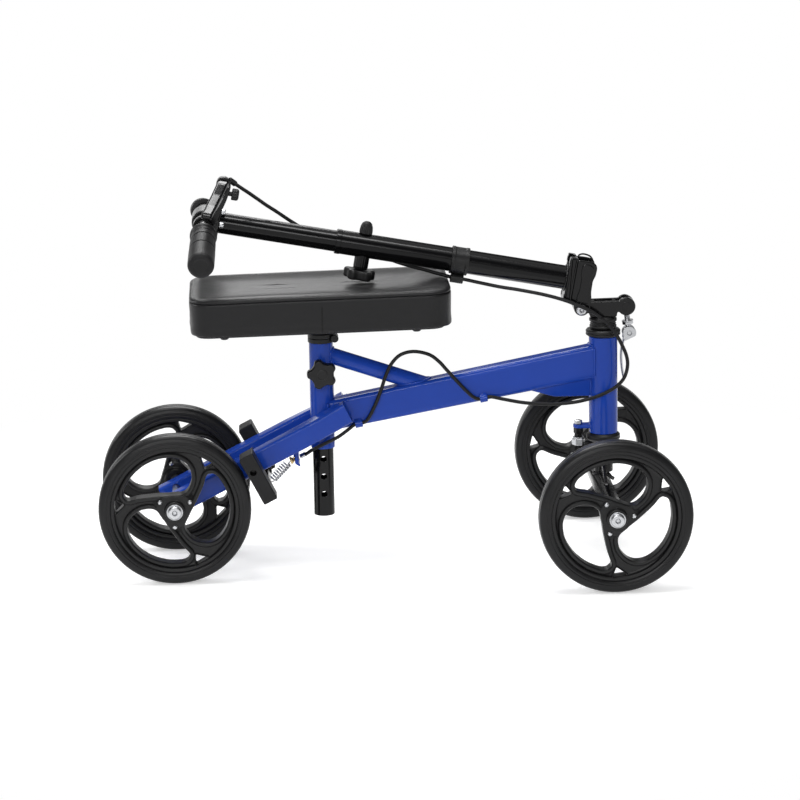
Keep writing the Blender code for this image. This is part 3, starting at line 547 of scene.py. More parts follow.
def moulded_plastic(name, shade, roughness, grit=0.12):
    """Moulded plastic: near-even colour, a fine matt texture and soft flow marks."""
    finish = Finish(name)
    grain = finish.noise(1500.0, 3.0)
    marks = finish.noise(30.0, 3.0, (1, 1, 0.3))
    return finish.set(
        Base_Color=finish.between(marks, shaded(shade, 0.8), shade),
        Roughness=roughness + grit * marks,
        Specular_IOR_Level=0.3,
        Normal=finish.bump(grain, grit, 0.0004),
    )


def rubber(name, shade, roughness, bloom):
    """Moulded rubber with a grey bloom in patches and a fine pitted skin."""
    finish = Finish(name)
    pits = finish.noise(1100.0, 4.0)
    patch = finish.noise(24.0, 4.0)
    stops = [(0.35, (0, 0, 0)), (0.75, (1, 1, 1))]
    cover = finish.node("ShaderNodeValToRGB", {"stops": stops}, {"Fac": patch})
    return finish.set(
        Base_Color=finish.between(cover, shade, bloom),
        Roughness=roughness + 0.12 * patch,
        Specular_IOR_Level=0.22,
        Normal=finish.bump(pits, 0.16, 0.0004),
    )


def grained_vinyl(name, shade, painted_sheen):
    """Upholstery vinyl: leather-like cells pressed in at about a millimetre, over soft wide creases,
    duller inside the rolled edge, with a sewn seam up the middle of each long side. Its colour is
    lighter in wide patches, a painted soft highlight."""
    finish = Finish(name)
    spots = {"Vector": finish.place(), "Scale": 900.0}
    cells = finish.node("ShaderNodeTexVoronoi", {"feature": "DISTANCE_TO_EDGE"}, spots)
    valley = finish.node("ShaderNodeMapRange", inputs={"Value": cells, "From Min": 0.0, "From Max": 0.22})
    fold = finish.noise(16.0, 3.0, (1.0, 1.6, 1.0))
    wide = finish.noise(5.0, 2.0)
    along = finish.node("ShaderNodeSeparateXYZ", inputs={0: finish.place()})
    beside = along + 0.086
    line = finish.fade(beside.size(), 0.0004, 0.0016, 1.0, 0.0)
    low = {"Value": along.other(2), "From Min": 0.363, "From Max": 0.366, "To Min": 1.0, "To Max": 0.0}
    seam = line * finish.node("ShaderNodeMapRange", inputs=low)
    sizes = bpy.context.scene.walker_sizes
    to_end = sizes.pad_length / 2 - (along - PAD_X * MM).size()
    to_side = sizes.pad_width / 2 - along.other(1).size()
    edge = to_end.math("MINIMUM", to_end, to_side)
    dull = finish.fade(edge, 0.010, 0.018) * (1 - finish.fade(edge, 0.024, 0.058))
    grain = finish.bump(valley + 2.6 * finish.noise(95.0, 2.0) - 6.0 * seam, 0.1, 0.0005)
    wear = {"Height": fold, "Strength": 0.12, "Distance": 0.007, "Normal": grain}
    # Painted highlight: the base colour lightens in wide random patches, standing in for the cover's soft
    # shine.
    plain = finish.between(wide, shade, painted_sheen)
    return finish.set(
        Base_Color=finish.between(seam, plain, shaded(shade, 0.3)),
        Roughness=0.31 + 0.24 * dull + 0.06 * fold + 0.05 * (1 - valley),
        Specular_IOR_Level=0.24,
        Normal=finish.node("ShaderNodeBump", inputs=wear),
    )


def bright_metal(name, colour, roughness=0.22):
    """Plated metal with fine machining lines and a little haze."""
    finish = Finish(name)
    haze = finish.noise(60.0, 3.0)
    lines = finish.noise(1400.0, 2.0, (1.0, 0.08, 1.0))
    return finish.set(
        Base_Color=finish.between(haze, shaded(colour, 0.72), colour),
        Metallic=1.0,
        Roughness=roughness + 0.16 * haze,
        Normal=finish.bump(lines, 0.06, 0.0003),
    )


FINISH = {}


def finishes():
    """Every finish by name, made once. The record's slots have the same names."""
    if FINISH:
        return FINISH
    colours = bpy.context.scene.walker_colours
    blue, black, plastic = (tuple(c) for c in (colours.frame_blue, colours.black_gloss, colours.plastic))
    soot = (0.009, 0.009, 0.0095)
    FINISH.update(
        blue_paint=gloss_paint("Blue gloss paint", blue, 0.85, 0.12, 0.2, 0.12),
        black_paint=gloss_paint("Black gloss paint", black, 0.7, 0.14, 0.0, 0.22),
        cast_paint=gloss_paint("Paint over casting", black, 0.7, 0.12, 0.0, 0.3, 0.12),
        black_plastic=moulded_plastic("Black plastic", plastic, 0.34),
        smooth_plastic=moulded_plastic("Smooth black plastic", plastic, 0.2, 0.03),
        black_rubber=rubber("Black rubber", soot, 0.42, (0.014, 0.014, 0.015)),
        tyre_rubber=rubber("Tyre rubber", soot, 0.26, (0.013, 0.013, 0.014)),
        # The pad's second colour is its painted highlight, the lighter grey of the wide patches.
        pad_vinyl=grained_vinyl("Pad vinyl", tuple(colours.vinyl), (0.013, 0.013, 0.014)),
        bright_steel=bright_metal("Bright steel", (0.6, 0.61, 0.63)),
        brass=bright_metal("Brass", (0.7, 0.52, 0.24), 0.28),
    )
    return FINISH


# Frame


def prism(line, section, starts, ends, rows=24):
    """A straight beam: section point (y, w) runs from its own start to its own end along the line, so
    the ends can follow the tubes that they meet. Height is taken on the line's normal."""
    a, b, low, high = line
    a, b = np.asarray(a, float), np.asarray(b, float)
    run = b - a
    length = np.linalg.norm(run)
    ahead = run / length
    over = np.array((-ahead[2], 0.0, ahead[0]))
    t = np.linspace(0, 1, rows)[:, None]
    s = starts[None] + t * (ends - starts)[None]
    height = (low + (high - low) * s / length) / 2
    rings = a + s[..., None] * ahead + (section[None, :, 1] * height)[..., None] * over
    rings = rings + (section[None, :, 0])[..., None] * Y
    return skin(rings)


def reach_of(line, section, edge_of):
    """How far along the line each section point meets x = edge_of(y)."""
    a, b, low, high = line
    run = np.subtract(b, a).astype(float)
    ahead = run / np.linalg.norm(run)
    lift = section[:, 1] * (low + high) / 4
    return (edge_of(section[:, 0]) + lift * ahead[2] - a[0]) / ahead[0]


def box_section(width, height, radius):
    """A rounded rectangle as (y, share of half the height)."""
    outline = oblong(width, height, radius, 8)
    return outline / (1.0, height / 2)


def head_tube_shells():
    """The head tube and its lug for the stop screw, with a weld above and below the lug."""
    body = tube((STEER_X, 0, 167), (STEER_X, 0, 298), HEAD_RADIUS, 16.8, 1.0, 72)
    outline = np.vstack([[(271.5, 9), (271.5, -9)], arc(256.5, 0, 9, -110, -250, 12)])
    hole = tube(STOP_SCREW + 160 * Z, STOP_SCREW + 190 * Z, 3.3, 0, 0.1, 24)
    lug = carve(slab(outline, 174.0, 178.5, 0.8, TOP), [hole])
    welds = [bead([(270.6, -8.6, z), (269.2, 0, z), (270.6, 8.6, z)], 1.2, Z) for z in (178.9, 173.6)]
    return [body, lug, *welds]


def beam_shells():
    """The tapered box beam with ends shaped to its tubes, its gusset, cable loops and welds."""
    line = ((-84.0, 0, 199.8), (278.0, 0, 265.3), 40.2, 44.3)
    section = box_section(29.0, 42.0, 5.5)
    rear = reach_of(line, section, lambda y: SEAT_TUBE_X + np.sqrt(15.6**2 - y**2))
    front = reach_of(line, section, lambda y: STEER_X - np.sqrt(18.7**2 - y**2))
    gusset = [(186, 229), (222, 218.5), (276, 218.5), (276, 246), (188, 240)]
    shells = [prism(line, section, rear, front, 40), plate(gusset, 4.0, -9.0, 9.0, 1.2)]
    for x, z in CABLE_LOOPS:
        shells.append(tube((x - 4.9, -18.4, z - 0.9), (x + 4.9, -18.4, z + 0.9), 5.2, 3.0, 0.7, 32))
        for side in (-1, 1):
            foot = [(x - 4, -15.2, z + side * 4.4 - 0.8), (x + 4, -15.2, z + side * 4.4 + 0.8)]
            shells.append(bead(foot, 1.3, Z))
    return shells + beam_welds()


def beam_welds():
    """Rippled beads up both sides of each joint and across the top and bottom."""
    shells = []
    for side in (-1, 1):
        y = side * 14.4
        front = STEER_X - np.sqrt(HEAD_RADIUS**2 - 14.4**2) - 0.6
        rear = SEAT_TUBE_X + np.sqrt(SEAT_RADIUS**2 - 14.4**2) + 0.6
        shells.append(bead([(front, y, 247), (front, y, 258), (front, y, 270), (front, y, 284)], 1.8))
        shells.append(bead([(rear, y, 186), (rear, y, 198), (rear, y, 210), (rear, y, 219)], 1.8))
        low = STEER_X - np.sqrt(HEAD_RADIUS**2 - 9.0**2) - 0.5
        shells.append(bead([(low, side * 9, 219.5), (low, side * 9, 230), (low, side * 9, 240)], 1.6))
    for z, sign in ((286.8, 1), (243.4, -1)):
        widths = (-13, -6.5, 0, 6.5, 13)
        ends = [(STEER_X - np.sqrt(19.3**2 - y**2), y, z + 0.1 * sign) for y in widths]
        shells.append(bead(ends, 1.7, Z))
    return shells


def seat_tube_shells():
    """The seat tube and the boss for its knob, with the weld round the boss."""
    x, z = SEAT_TUBE_X, SEAT_KNOB_Z
    body = tube((x, 0, 157), (x, 0, 300), SEAT_RADIUS, 14.3, 0.9, 64)
    boss = tube((x, -13.5, z), (x, -24, z), 8.0, 4.3, 0.8, 40)
    ring = circle(8.6, 24)
    saddle = [(x + a, -np.sqrt(max(16.2**2 - a * a, 1)), z + b) for a, b in np.vstack([ring, ring[:1]])]
    return [body, boss, bead(saddle[::3], 1.3, Y + 0.01 * Z)]


def strut_shells():
    """The round brace from seat tube to beam, its ends shaped to both."""
    line = ((-84.0, 0, 284.6), (60.0, 0, 234.7), 22.0, 22.0)
    section = circle(1, 40) * (11.0, 1.0)
    rear = reach_of(line, section, lambda y: SEAT_TUBE_X + np.sqrt(15.6**2 - np.minimum(y**2, 200)))
    run = np.array((144.0, 0, -49.9))
    ahead = run / np.linalg.norm(run)
    over = np.array((-ahead[2], 0, ahead[0]))
    beam_slope = (264.7 - 219.9) / 240
    x0 = -84.0 + section[:, 1] * 11 * over[0]
    z0 = 284.6 + section[:, 1] * 11 * over[2]
    front = (219.5 + beam_slope * (x0 + 90) - z0) / (ahead[2] - beam_slope * ahead[0])
    shells = [prism(line, section, rear, front, 20)]
    ends = shells[0].points.reshape(20, 40, 3)[[0, -1]]
    for end, shift in ((ends[0], 0.6), (ends[1], -0.4)):
        loop = end[::4] + (shift, 0, 0)
        shells.append(bead(np.vstack([loop, loop[:1]]), 1.6, Y + 0.3 * X))
    return shells


def rail_shells(side):
    """A box rail down to the axle: outer skin, rim and bore in one hoop of rings along a bent path."""
    wide, close = side * 35.5, side * 27.4
    plan = eased([(-301.3, wide), (-112, wide), (-66, close), (-53.7, close)], 22.0, False, 8)
    cuts = np.linspace(0, 1, 10)[1:-1, None]
    plan = np.vstack([plan[:1], plan[:1] + cuts * (plan[1:2] - plan[:1]), plan[1:]])
    path = np.stack([plan[:, 0], plan[:, 1], 94.6 + RAIL_SLOPE * (plan[:, 0] + AXLE_X)], -1)
    lateral = unit(np.cross(Z, unit(np.gradient(path, axis=0))))
    over = np.cross(unit(np.gradient(path, axis=0)), lateral)
    outer = oblong(25.0, 28.0, 3.8, 6)
    walls = [
        path[:, None] + section[None, :, :1] * lateral[:, None] + section[None, :, 1:] * over[:, None]
        for section in (outer, outer * (21.0 / 25, 24.0 / 28))
    ]
    spots = ((-AXLE_X, WHEEL_RADIUS, 5.4), (*SHOE_PIVOT, 4.4))
    holes = [tube((x, side * 10, z), (x, side * 60, z), radius, 0, 0.1, 32) for x, z, radius in spots]
    shells = [carve(skin(np.vstack([walls[0], walls[1][::-1]]), "join"), holes)]
    for z in (-12.5, 0.0, 12.5):
        x = -62.0 + 0.3 * z
        height = 94.6 + RAIL_SLOPE * (x + AXLE_X) + z
        shells.append(bead([(x - 6, side * 15.4, height - 3), (x + 6, side * 15.4, height + 3)], 1.4, Z))
    return shells


def cable_stop_shells():
    """The bent tab on the right rail that the cable's housing ends in."""
    tab = [
        (-125.2, 161.5), (-124.8, 142), (-122.4, 139.6), (-118.4, 137.4), (-117.4, 139.2), (-119.6, 142.2),
        (-119.2, 163),
    ]
    hole = tube((-133, 0, 137.7), (-110, 0, 147.1), 3.0, 0, 0.1, 24)
    weld = bead([(-125.4, -27, 158), (-125.4, -24, 158), (-125.4, -22.6, 150)], 1.2)
    return [carve(plate(tab, 0.9, -28.0, 4.0, 0.7), [hole]), weld]


def make_rails():
    """The two rear rails; the right one carries the cable stop."""
    right = rail_shells(-1) + cable_stop_shells()
    piece("rear_rail_right_box", right, "blue_paint", "frame", ["rear_rail_right"])
    piece("rear_rail_left_box", rail_shells(1), "blue_paint", "frame", ["rear_rail_left"])


UPPER_CUP = [
    (21.2, 308), (23, 306.2), (23, 303.9), (22.3, 303.4), (22.3, 302.9), (23, 302.4), (23, 300.5),
    (20, 298.3), (13.1, 298.3), (13.1, 308),
]
LOWER_CUP = [
    (20, 166.7), (22.5, 164), (22.5, 161.9), (21.9, 161.4), (22.5, 160.9), (22.5, 159), (20, 156.5),
    (13.1, 156.5), (13.1, 166.7),
]


def collar_shells():
    """The clamp ring on the seat tube, with its ear and slit."""
    x = SEAT_TUBE_X
    section = [
        (17.3, 312), (17.3, 307), (16.6, 306.4), (17.3, 305.8), (17.3, 300.3), (14.3, 300.3), (14.3, 312),
    ]
    ring = turned(section, 0.6, (x, 0, 0), Z, 64, True)
    ear = tube((-68.5, -14, 306.2), (-68.5, 6, 306.2), 5.2, 0, 0.9, 32)
    bore = tube((x, 0, 290), (x, 0, 330), 14.3, 0, 0.1, 64)
    slit = slab([(-72, -1.0), (-60, -1.0), (-60, 1.0), (-72, 1.0)], 298.0, 314.0, 0.1, TOP)
    return [carve(ring, [slit]), carve(ear, [bore, slit])]


def stop_bolt_shells():
    """The steering stop: screw, top nut, big lower head and washer."""
    at = STOP_SCREW
    head = [(0, 159.2), (8.4, 159.2), (8.8, 158.4), (8.8, 151.4), (8.2, 150.4), (4, 149.8), (0, 149.8)]
    return [
        thread(at + 158.4 * Z, at + 183 * Z, 2.9, 1.0),
        turned([(0, 184.4), (3.4, 184.2), (5.4, 183.4), (5.6, 179), (0, 179)], 0.5, at, Z, 6),
        turned(head, 0.5, at, Z, 6),
        turned([(0, 161.2), (7.4, 161.2), (7.4, 159.4), (0, 159.4)], 0.4, at, Z, 36),
    ]


def stop_nut_shells():
    """The black lock nut and its collar on the stop screw."""
    nut = turned([(3, 173.8), (6.4, 173.8), (6.4, 166.4), (3, 166.4)], 0.5, STOP_SCREW, Z, 6, True)
    collar = turned([(3, 166.2), (5.2, 166.2), (5.2, 161.4), (3, 161.4)], 0.4, STOP_SCREW, Z, 36, True)
    return [nut, collar]


def axle_shells(x, track, collar):
    """The axle through both wheels: washers and heads outside, collars inside, bare bar between."""
    z = WHEEL_RADIUS
    tip = track / 2 + 20.8
    shells = [tube((x, -tip, z), (x, tip, z), 4.7, 0, 0.5, 24)]
    rim = [(3.6, 6.4), (7.4, 6.4), (9.0, 5.0), (9.2, 1.3), (0, 1.3)]
    for side, low, high in sides(track / 2 - 20.3, collar):
        end, out = (x, side * tip, z), side * Y
        shells.append(turned([(0, 1.3), (10.6, 1.3), (10.6, 0), (0, 0)], 0.4, end, out, 48))
        shells += socket_head(rim, 0.9, (3.7, 2.2), end, out)
        shells.append(hex_collar(x, z, 9.0, low, high, 0.6))
    return shells


def make_rear_metal():
    """The rear axle, and the rod that the brake's bar turns on."""
    axle = axle_shells(-AXLE_X, REAR_TRACK, 48.5)
    piece("rear_axle_bar", axle, "bright_steel", "frame", ["rear_axle"])
    x, z = SHOE_PIVOT
    rod = [tube((x, -84, z), (x, 84, z), 3.9, 0, 0.6, 24)]
    rod += [hex_collar(x, z, 7.0, low, high, 0.5) for _, low, high in sides(55.6, 59.6)]
    piece("brake_pivot_rod", rod, "bright_steel", "frame", ["brake_pivot_bolt"])


# Wheels


def polar(points, turn):
    """Points given as (distance, degrees), turned on by some degrees."""
    points = np.asarray(points, float)
    a = np.radians(points[:, 1] + turn)
    return points[:, :1] * np.stack([np.cos(a), np.sin(a)], -1)


def outward(outline):
    """The normals of a closed outline, which point out of it."""
    ahead = unit(np.roll(outline, -1, 0) - np.roll(outline, 1, 0))
    return np.stack([ahead[:, 1], -ahead[:, 0]], -1)


def swirl(turn=0.0, count=6):
    """The comma-shaped opening between two spokes, a smooth closed curve in polar points."""
    points = polar([
        (69.3, 100.6), (71.2, 96.2), (71.7, 90), (71.9, 78), (71.9, 64), (71.7, 52), (71.3, 42),
        (70.4, 32), (68.5, 22), (64, 12.5), (56.5, 4.5), (46, -2.5), (36.5, -6), (29, -6), (23.6, 0.5),
        (21, 14), (20.3, 30), (20.8, 46), (23.6, 61), (28.6, 74.5), (36, 86), (45, 94), (52, 98.6),
        (57.5, 102), (62, 103.8), (66, 103.3),
    ], turn)
    wrapped = np.vstack([points[-2:], points, points[:2]])
    fine = flow(wrapped, count)
    return fine[2 * count:-2 * count - 1][::-1]


def grown(outline, distance):
    """The outline moved out along its own normals."""
    return outline + distance * outward(outline)


def lip_shell(outline, width=6.6, height=11.2, thick=8.0):
    """A rolled lip round an opening, in and out of the web: each outline point carries the closed section
    (distance out, height) of a flat band with two round backs."""
    d = np.array([0, 0.06, 0.2, 0.42, 0.66, 0.86, 0.97, 1.0]) * width
    h = thick + (height - thick) * np.array([0, 0.55, 0.88, 1.0, 0.9, 0.55, 0.1, -0.5])
    section = np.concatenate([np.stack([d, h], -1), np.stack([d, -h], -1)[::-1]])
    flat = outline[:, None] + section[None, :, :1] * outward(outline)[:, None]
    level = np.broadcast_to(section[None, :, 1:], flat.shape[:2] + (1,))
    return skin(np.concatenate([flat, level], -1), "join")


def drum(outline, reach=30.0):
    """A straight cutter with this outline, through the whole wheel."""
    both = [np.concatenate([outline, np.full((len(outline), 1), z)], -1) for z in (-reach, reach)]
    return skin(np.array(both))


def wheel_centre_shells():
    """A turned centre less three swirl openings and three notches, with their rolled lips."""
    profile = eased([
        (84.6, 11.4), (84.6, -11.4), (83.4, -12.2), (80.2, -12.2), (79, -11.2), (78.2, -8.4),
        (75.5, -7.4), (31, -7.0), (25.5, -8.6), (22, -12.0), (17, -13.2), (15.6, -19), (14.4, -20),
        (5.2, -20), (5.2, 20.5), (12.6, 20.5), (13.4, 19.7), (13.6, 12.6), (23.5, 12.0), (26.5, 9.6),
        (31, 7.0), (75.5, 7.4), (78.2, 8.4), (79, 11.2), (80.2, 12.2), (83.4, 12.2),
    ], 1.0, True, 3)
    body = revolve(profile, (0, 0, 0), Z, 120, True)
    cutters = []
    shells = []
    for k in range(3):
        turn = 120.0 * k
        outline = swirl(turn)
        cutters.append(drum(grown(outline, 1.6)))
        shells.append(lip_shell(outline))
        notch = polar([(66.2, -10.2), (80.0, -14.0), (78.4, 0.5)], turn)
        small = flow(eased(notch, 2.4, True), 3)
        cutters.append(drum(grown(small, 0.8)))
        shells.append(lip_shell(small, 2.0, 9.6, 7.6))
    return [carve(body, cutters), *shells]


def wheel_rivets():
    """Three domed rivets on either face of the hub."""
    shells = []
    for sign in (-1, 1):
        for k in range(3):
            a = radians(86 + 120 * k)
            at = np.array((22.3 * cos(a), 22.3 * sin(a), sign * 12.6))
            dome = [(0, 1.9), (1.5, 1.7), (2.6, 1.0), (3.1, 0.2), (3.1, -2.0), (0, -2.0)]
            shells.append(turned(dome, 0.3, at, sign * Z, 20))
    return shells


def tyre_shell():
    """A solid tyre: crowned tread with two grooves, stepped side walls, turned from one section."""
    half = [
        (84.3, 13.2), (86.6, 14.3), (88.2, 14.6), (88.6, 14.2), (89.4, 14.2), (89.8, 14.9), (93, 15.0),
        (94.2, 14.4), (94.5, 14.5), (96.6, 13.6), (98.3, 12.2), (99.3, 10.3), (99.8, 7.6), (99.95, 5.6),
        (99.2, 5.0), (99.2, 4.2), (100, 3.6),
    ]
    profile = half + [(r, -h) for r, h in reversed(half)]
    return revolve(eased(profile, 0.5, True, 2), (0, 0, 0), Z, 128, True)


# Name, axle, distance from the middle, and the angle in degrees that its swirls stand at in the photo
WHEELS = (
    ("rear_right_wheel", -AXLE_X, -REAR_TRACK / 2, 62.7),
    ("rear_left_wheel", -AXLE_X, REAR_TRACK / 2, 107.0),
    ("front_right_wheel", AXLE_X, -FRONT_TRACK / 2, 40.0),
    ("front_left_wheel", AXLE_X, FRONT_TRACK / 2, 15.2),
)


def make_wheels():
    """Four copies of one wheel, each with its outer face outward and at its own phase."""
    centre, rivets, tyre = wheel_centre_shells(), wheel_rivets(), tyre_shell()
    for name, x, y, phase in WHEELS:
        side = -1 if y < 0 else 1
        a = np.array((-side * cos(radians(phase)), 0.0, sin(radians(phase))))
        out = side * Y
        facing = Place(np.array((x, y, WHEEL_RADIUS)), a, np.cross(out, a), out)
        piece(
            name + "_spokes", [moved(s, facing) for s in centre],
            "black_plastic", name, [name + "_centre"], sharp=30,
        )
        piece(name + "_rivets", [moved(s, facing) for s in rivets], "bright_steel", name)
        level = Place(facing.origin, -side * X, np.cross(out, -side * X), out)
        piece(name + "_tread", [moved(tyre, level)], "tyre_rubber", name, [name + "_tyre"], sharp=50)


# Seat


def pad_place():
    """The pad's frame, tipped up a degree in front about the top of the post."""
    a = radians(-1.0)
    x_axis = np.array((cos(a), 0.0, -sin(a)))
    z_axis = np.array((sin(a), 0.0, cos(a)))
    pivot = np.array((SEAT_TUBE_X, 0.0, POST_TOP))
    return Place(pivot - SEAT_TUBE_X * x_axis - POST_TOP * z_axis, x_axis, Y, z_axis)


def pad_rings():
    """The pad's form as rings (height, inset): a skirt round the board, sides that draw in a little
    towards the bottom, a seam, and a rolled top edge that runs out into the flat top."""
    return np.array([
        (336.6, 60), (336.6, 30), (336.6, 5.4), (336.2, 4.8), (334, 4.5), (331.8, 4.4), (330.6, 4.0),
        (330.1, 3.0), (330.4, 2.0), (331.6, 1.5), (334, 1.3), (338, 1.1), (343, 0.9), (349, 0.7),
        (355, 0.5), (361, 0.3), (367, 0.1), (371.0, 0.0), (372.6, 0.2), (373.3, 0.9), (373.8, 2.0),
        (374.4, 1.0), (375.5, 0.3), (376.9, 0.4), (378.1, 1.2), (379.1, 2.6), (379.7, 4.6), (380.1, 7.2),
        (380.4, 10.2), (380.4, 13.2), (380.1, 16.4), (379.4, 20), (378.5, 24), (377.6, 28.5), (376.8, 34),
        (376.3, 41), (376.1, 50), (376.0, 60), (376.0, 70), (376.0, 81),
    ])


def pad_shell(length, width, count=232):
    """Rounded rectangles stacked by height. The corners tighten as the outline draws in. Near the bottom
    corners the folded cover stands in small pleats."""
    rings = []
    for z, inset in pad_rings():
        outline = oblong(length - 2 * inset, width - 2 * inset, max(30 - inset * 0.32, 3.0), 8)
        spread = resampled(outline, count)
        x, y = spread.T
        corner = np.clip(np.abs(x) / 150 - 0.72, 0, 1) * np.clip(np.abs(y) / 80 - 0.5, 0, 1) * 6
        pleat = np.sin(np.arctan2(y, x) * 64) * np.clip(corner, 0, 1) * np.clip((332 - z) / 4, 0, 1)
        rings.append(np.stack([x + PAD_X, y, z + 0.5 * pleat], -1))
    return skin(put(pad_place(), np.array(rings)))


def puffed(pad, cap):
    """The cover as cloth under pressure from within, its base held. Each point keeps its own place plus
    what it swelled, at most the cap."""
    mesh = pad.data
    count = len(mesh.vertices)
    start = np.empty(count * 3, np.float32)
    mesh.vertices.foreach_get("co", start)
    start = start.reshape(-1, 3)
    held = pad.vertex_groups.new(name="held")
    low = np.flatnonzero(start[:, 2] < 0.340)
    held.add(low.tolist(), 1.0, "REPLACE")
    cloth = pad.modifiers.new("Swell", "CLOTH")
    cloth.settings.use_pressure = True
    cloth.settings.uniform_pressure_force = 4.0
    cloth.settings.vertex_group_mass = "held"
    cloth.settings.quality = 6
    cloth.settings.tension_stiffness = cloth.settings.compression_stiffness = 40
    cloth.settings.bending_stiffness = 1.0
    cloth.settings.effector_weights.gravity = 0.0
    cloth.point_cache.frame_start, cloth.point_cache.frame_end = 1, SWELL_FRAMES
    scene = bpy.context.scene
    for step in range(1, SWELL_FRAMES + 1):
        scene.frame_set(step)
        grown_pad = pad.evaluated_get(bpy.context.evaluated_depsgraph_get())
    end = np.empty(count * 3, np.float32)
    grown_pad.data.vertices.foreach_get("co", end)
    move = end.reshape(-1, 3) - start
    length = np.linalg.norm(move, axis=1, keepdims=True)
    move *= np.minimum(cap / np.maximum(length, 1e-9), 1.0)
    mesh.vertices.foreach_set("co", (start + move).ravel())
    mesh.update()
    pad.modifiers.remove(cloth)
    pad.vertex_groups.remove(held)
    scene.frame_set(1)


def resampled(outline, count):
    """The same closed line as points at equal distances, starting at its first point."""
    closed = np.vstack([outline, outline[:1]])
    run = distance_run(closed)
    at = np.linspace(0, run[-1], count, endpoint=False)
    return np.stack([np.interp(at, run, closed[:, 0]), np.interp(at, run, closed[:, 1])], -1)


def make_pad():
    sizes = bpy.context.scene.walker_sizes
    shell = pad_shell(sizes.pad_length / MM, sizes.pad_width / MM)
    pad = piece("knee_cushion", [shell], "pad_vinyl", nodes=["knee_pad"], sharp=50)
    puffed(pad, sizes.pad_swell)
    finer = pad.modifiers.new("Finer", "SUBSURF")
    finer.levels = finer.render_levels = 1
    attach(pad, "seat")


def lobed_outline(outer, inner, turn, lobes=5, count=120):
    """r = mean + swing cos(lobes (a - turn)), flattened a little on the lobes."""
    a = np.linspace(0, 2 * pi, count, endpoint=False)
    wave = np.cos(lobes * (a - turn))
    r = (outer + inner) / 2 + (outer - inner) / 2 * np.tanh(1.6 * wave) / np.tanh(1.6)
    return np.stack([r * np.cos(a), r * np.sin(a)], -1)


def make_knob(name, at, axis, reach, thickness, radius, turn):
    """A lobed knob on the body of its own name: round rims, raised hub, dished face and its screw."""
    at = np.asarray(at, float)
    place = Place(at, *across(axis), unit(axis))
    face = -thickness
    hub = [(0, 0.4), (6.0, 0.4), (6.6, -0.4), (6.6, -3), (0, -3)]
    cap = [
        (0, face + 1), (7.6, face + 1), (7.6, face - 0.2), (6.2, face - 0.6), (5.4, face - 0.1),
        (0, face - 0.1),
    ]
    grip = [
        slab(lobed_outline(radius, radius * 0.77, turn), face, 0.0, 3.0, place, 5),
        turned(hub, 0.4, at, axis, 48),
        turned(cap, 0.3, at, axis, 48),
    ]
    piece(name + "_grip", grip, "black_plastic", name, [name])
    screw = thread(at - 2 * place.c, at + reach * place.c, 3.9, 1.25)
    piece(name + "_screw", [screw], "bright_steel", name)


def make_seat_metal():
    """The post with its row of holes, the plate and the board below the pad."""
    x = SEAT_TUBE_X
    post = tube((x, 0, 65), (x, 0, 322.3), 13.9, 12.0, 0.9, 64)
    heights = 95 + POST_PITCH * np.arange(8)
    holes = [tube((x, 20, z), (x, -20, z), 4.2, 0, 0.1, 28) for z in heights]
    piece("seat_post_tube", [carve(post, holes)], "black_paint", "seat", ["seat_post"])
    tipped = pad_place()
    steel = slab(oblong(120, 90, 8) + (-86, 0), 322.9, 326.9, 1.0, tipped)
    head = [(0, 1.6), (5.0, 1.6), (5.0, 0), (0, 0)]
    corners = [(-86 + x, y, 323.2) for x in (-48, 48) for y in (-34, 34)]
    bolts = [moved(turned(head, 0.5, corner, -Z, 6), tipped) for corner in corners]
    piece("seat_plate_steel", [steel], "black_paint", "seat", ["seat_plate"])
    piece("seat_plate_bolts", bolts, "bright_steel", "seat")
    board = [slab(oblong(324, 163, 18) + (-88, 0), 327.3, 335.9, 1.4, tipped)]
    foot = [(0, 329), (6.5, 329), (6.5, 326), (4.5, 323.4), (0, 323)]
    feet = [(x, y, 0) for x in (-213, 37) for y in (-69, 69)]
    board += [moved(turned(foot, 0.9, at, Z, 32), tipped) for at in feet]
    piece("seat_board_moulding", board, "black_plastic", "seat", ["seat_board"])


# Rear brake


def along_shoe(points):
    """Side-view points measured from the shoe pivot: down the shoe, then toward the front."""
    points = np.asarray(points, float)
    x = SHOE_PIVOT[0] + 0.454 * points[:, 0] + 0.891 * points[:, 1]
    z = SHOE_PIVOT[1] - 0.891 * points[:, 0] + 0.454 * points[:, 1]
    return np.stack([x, z], -1)


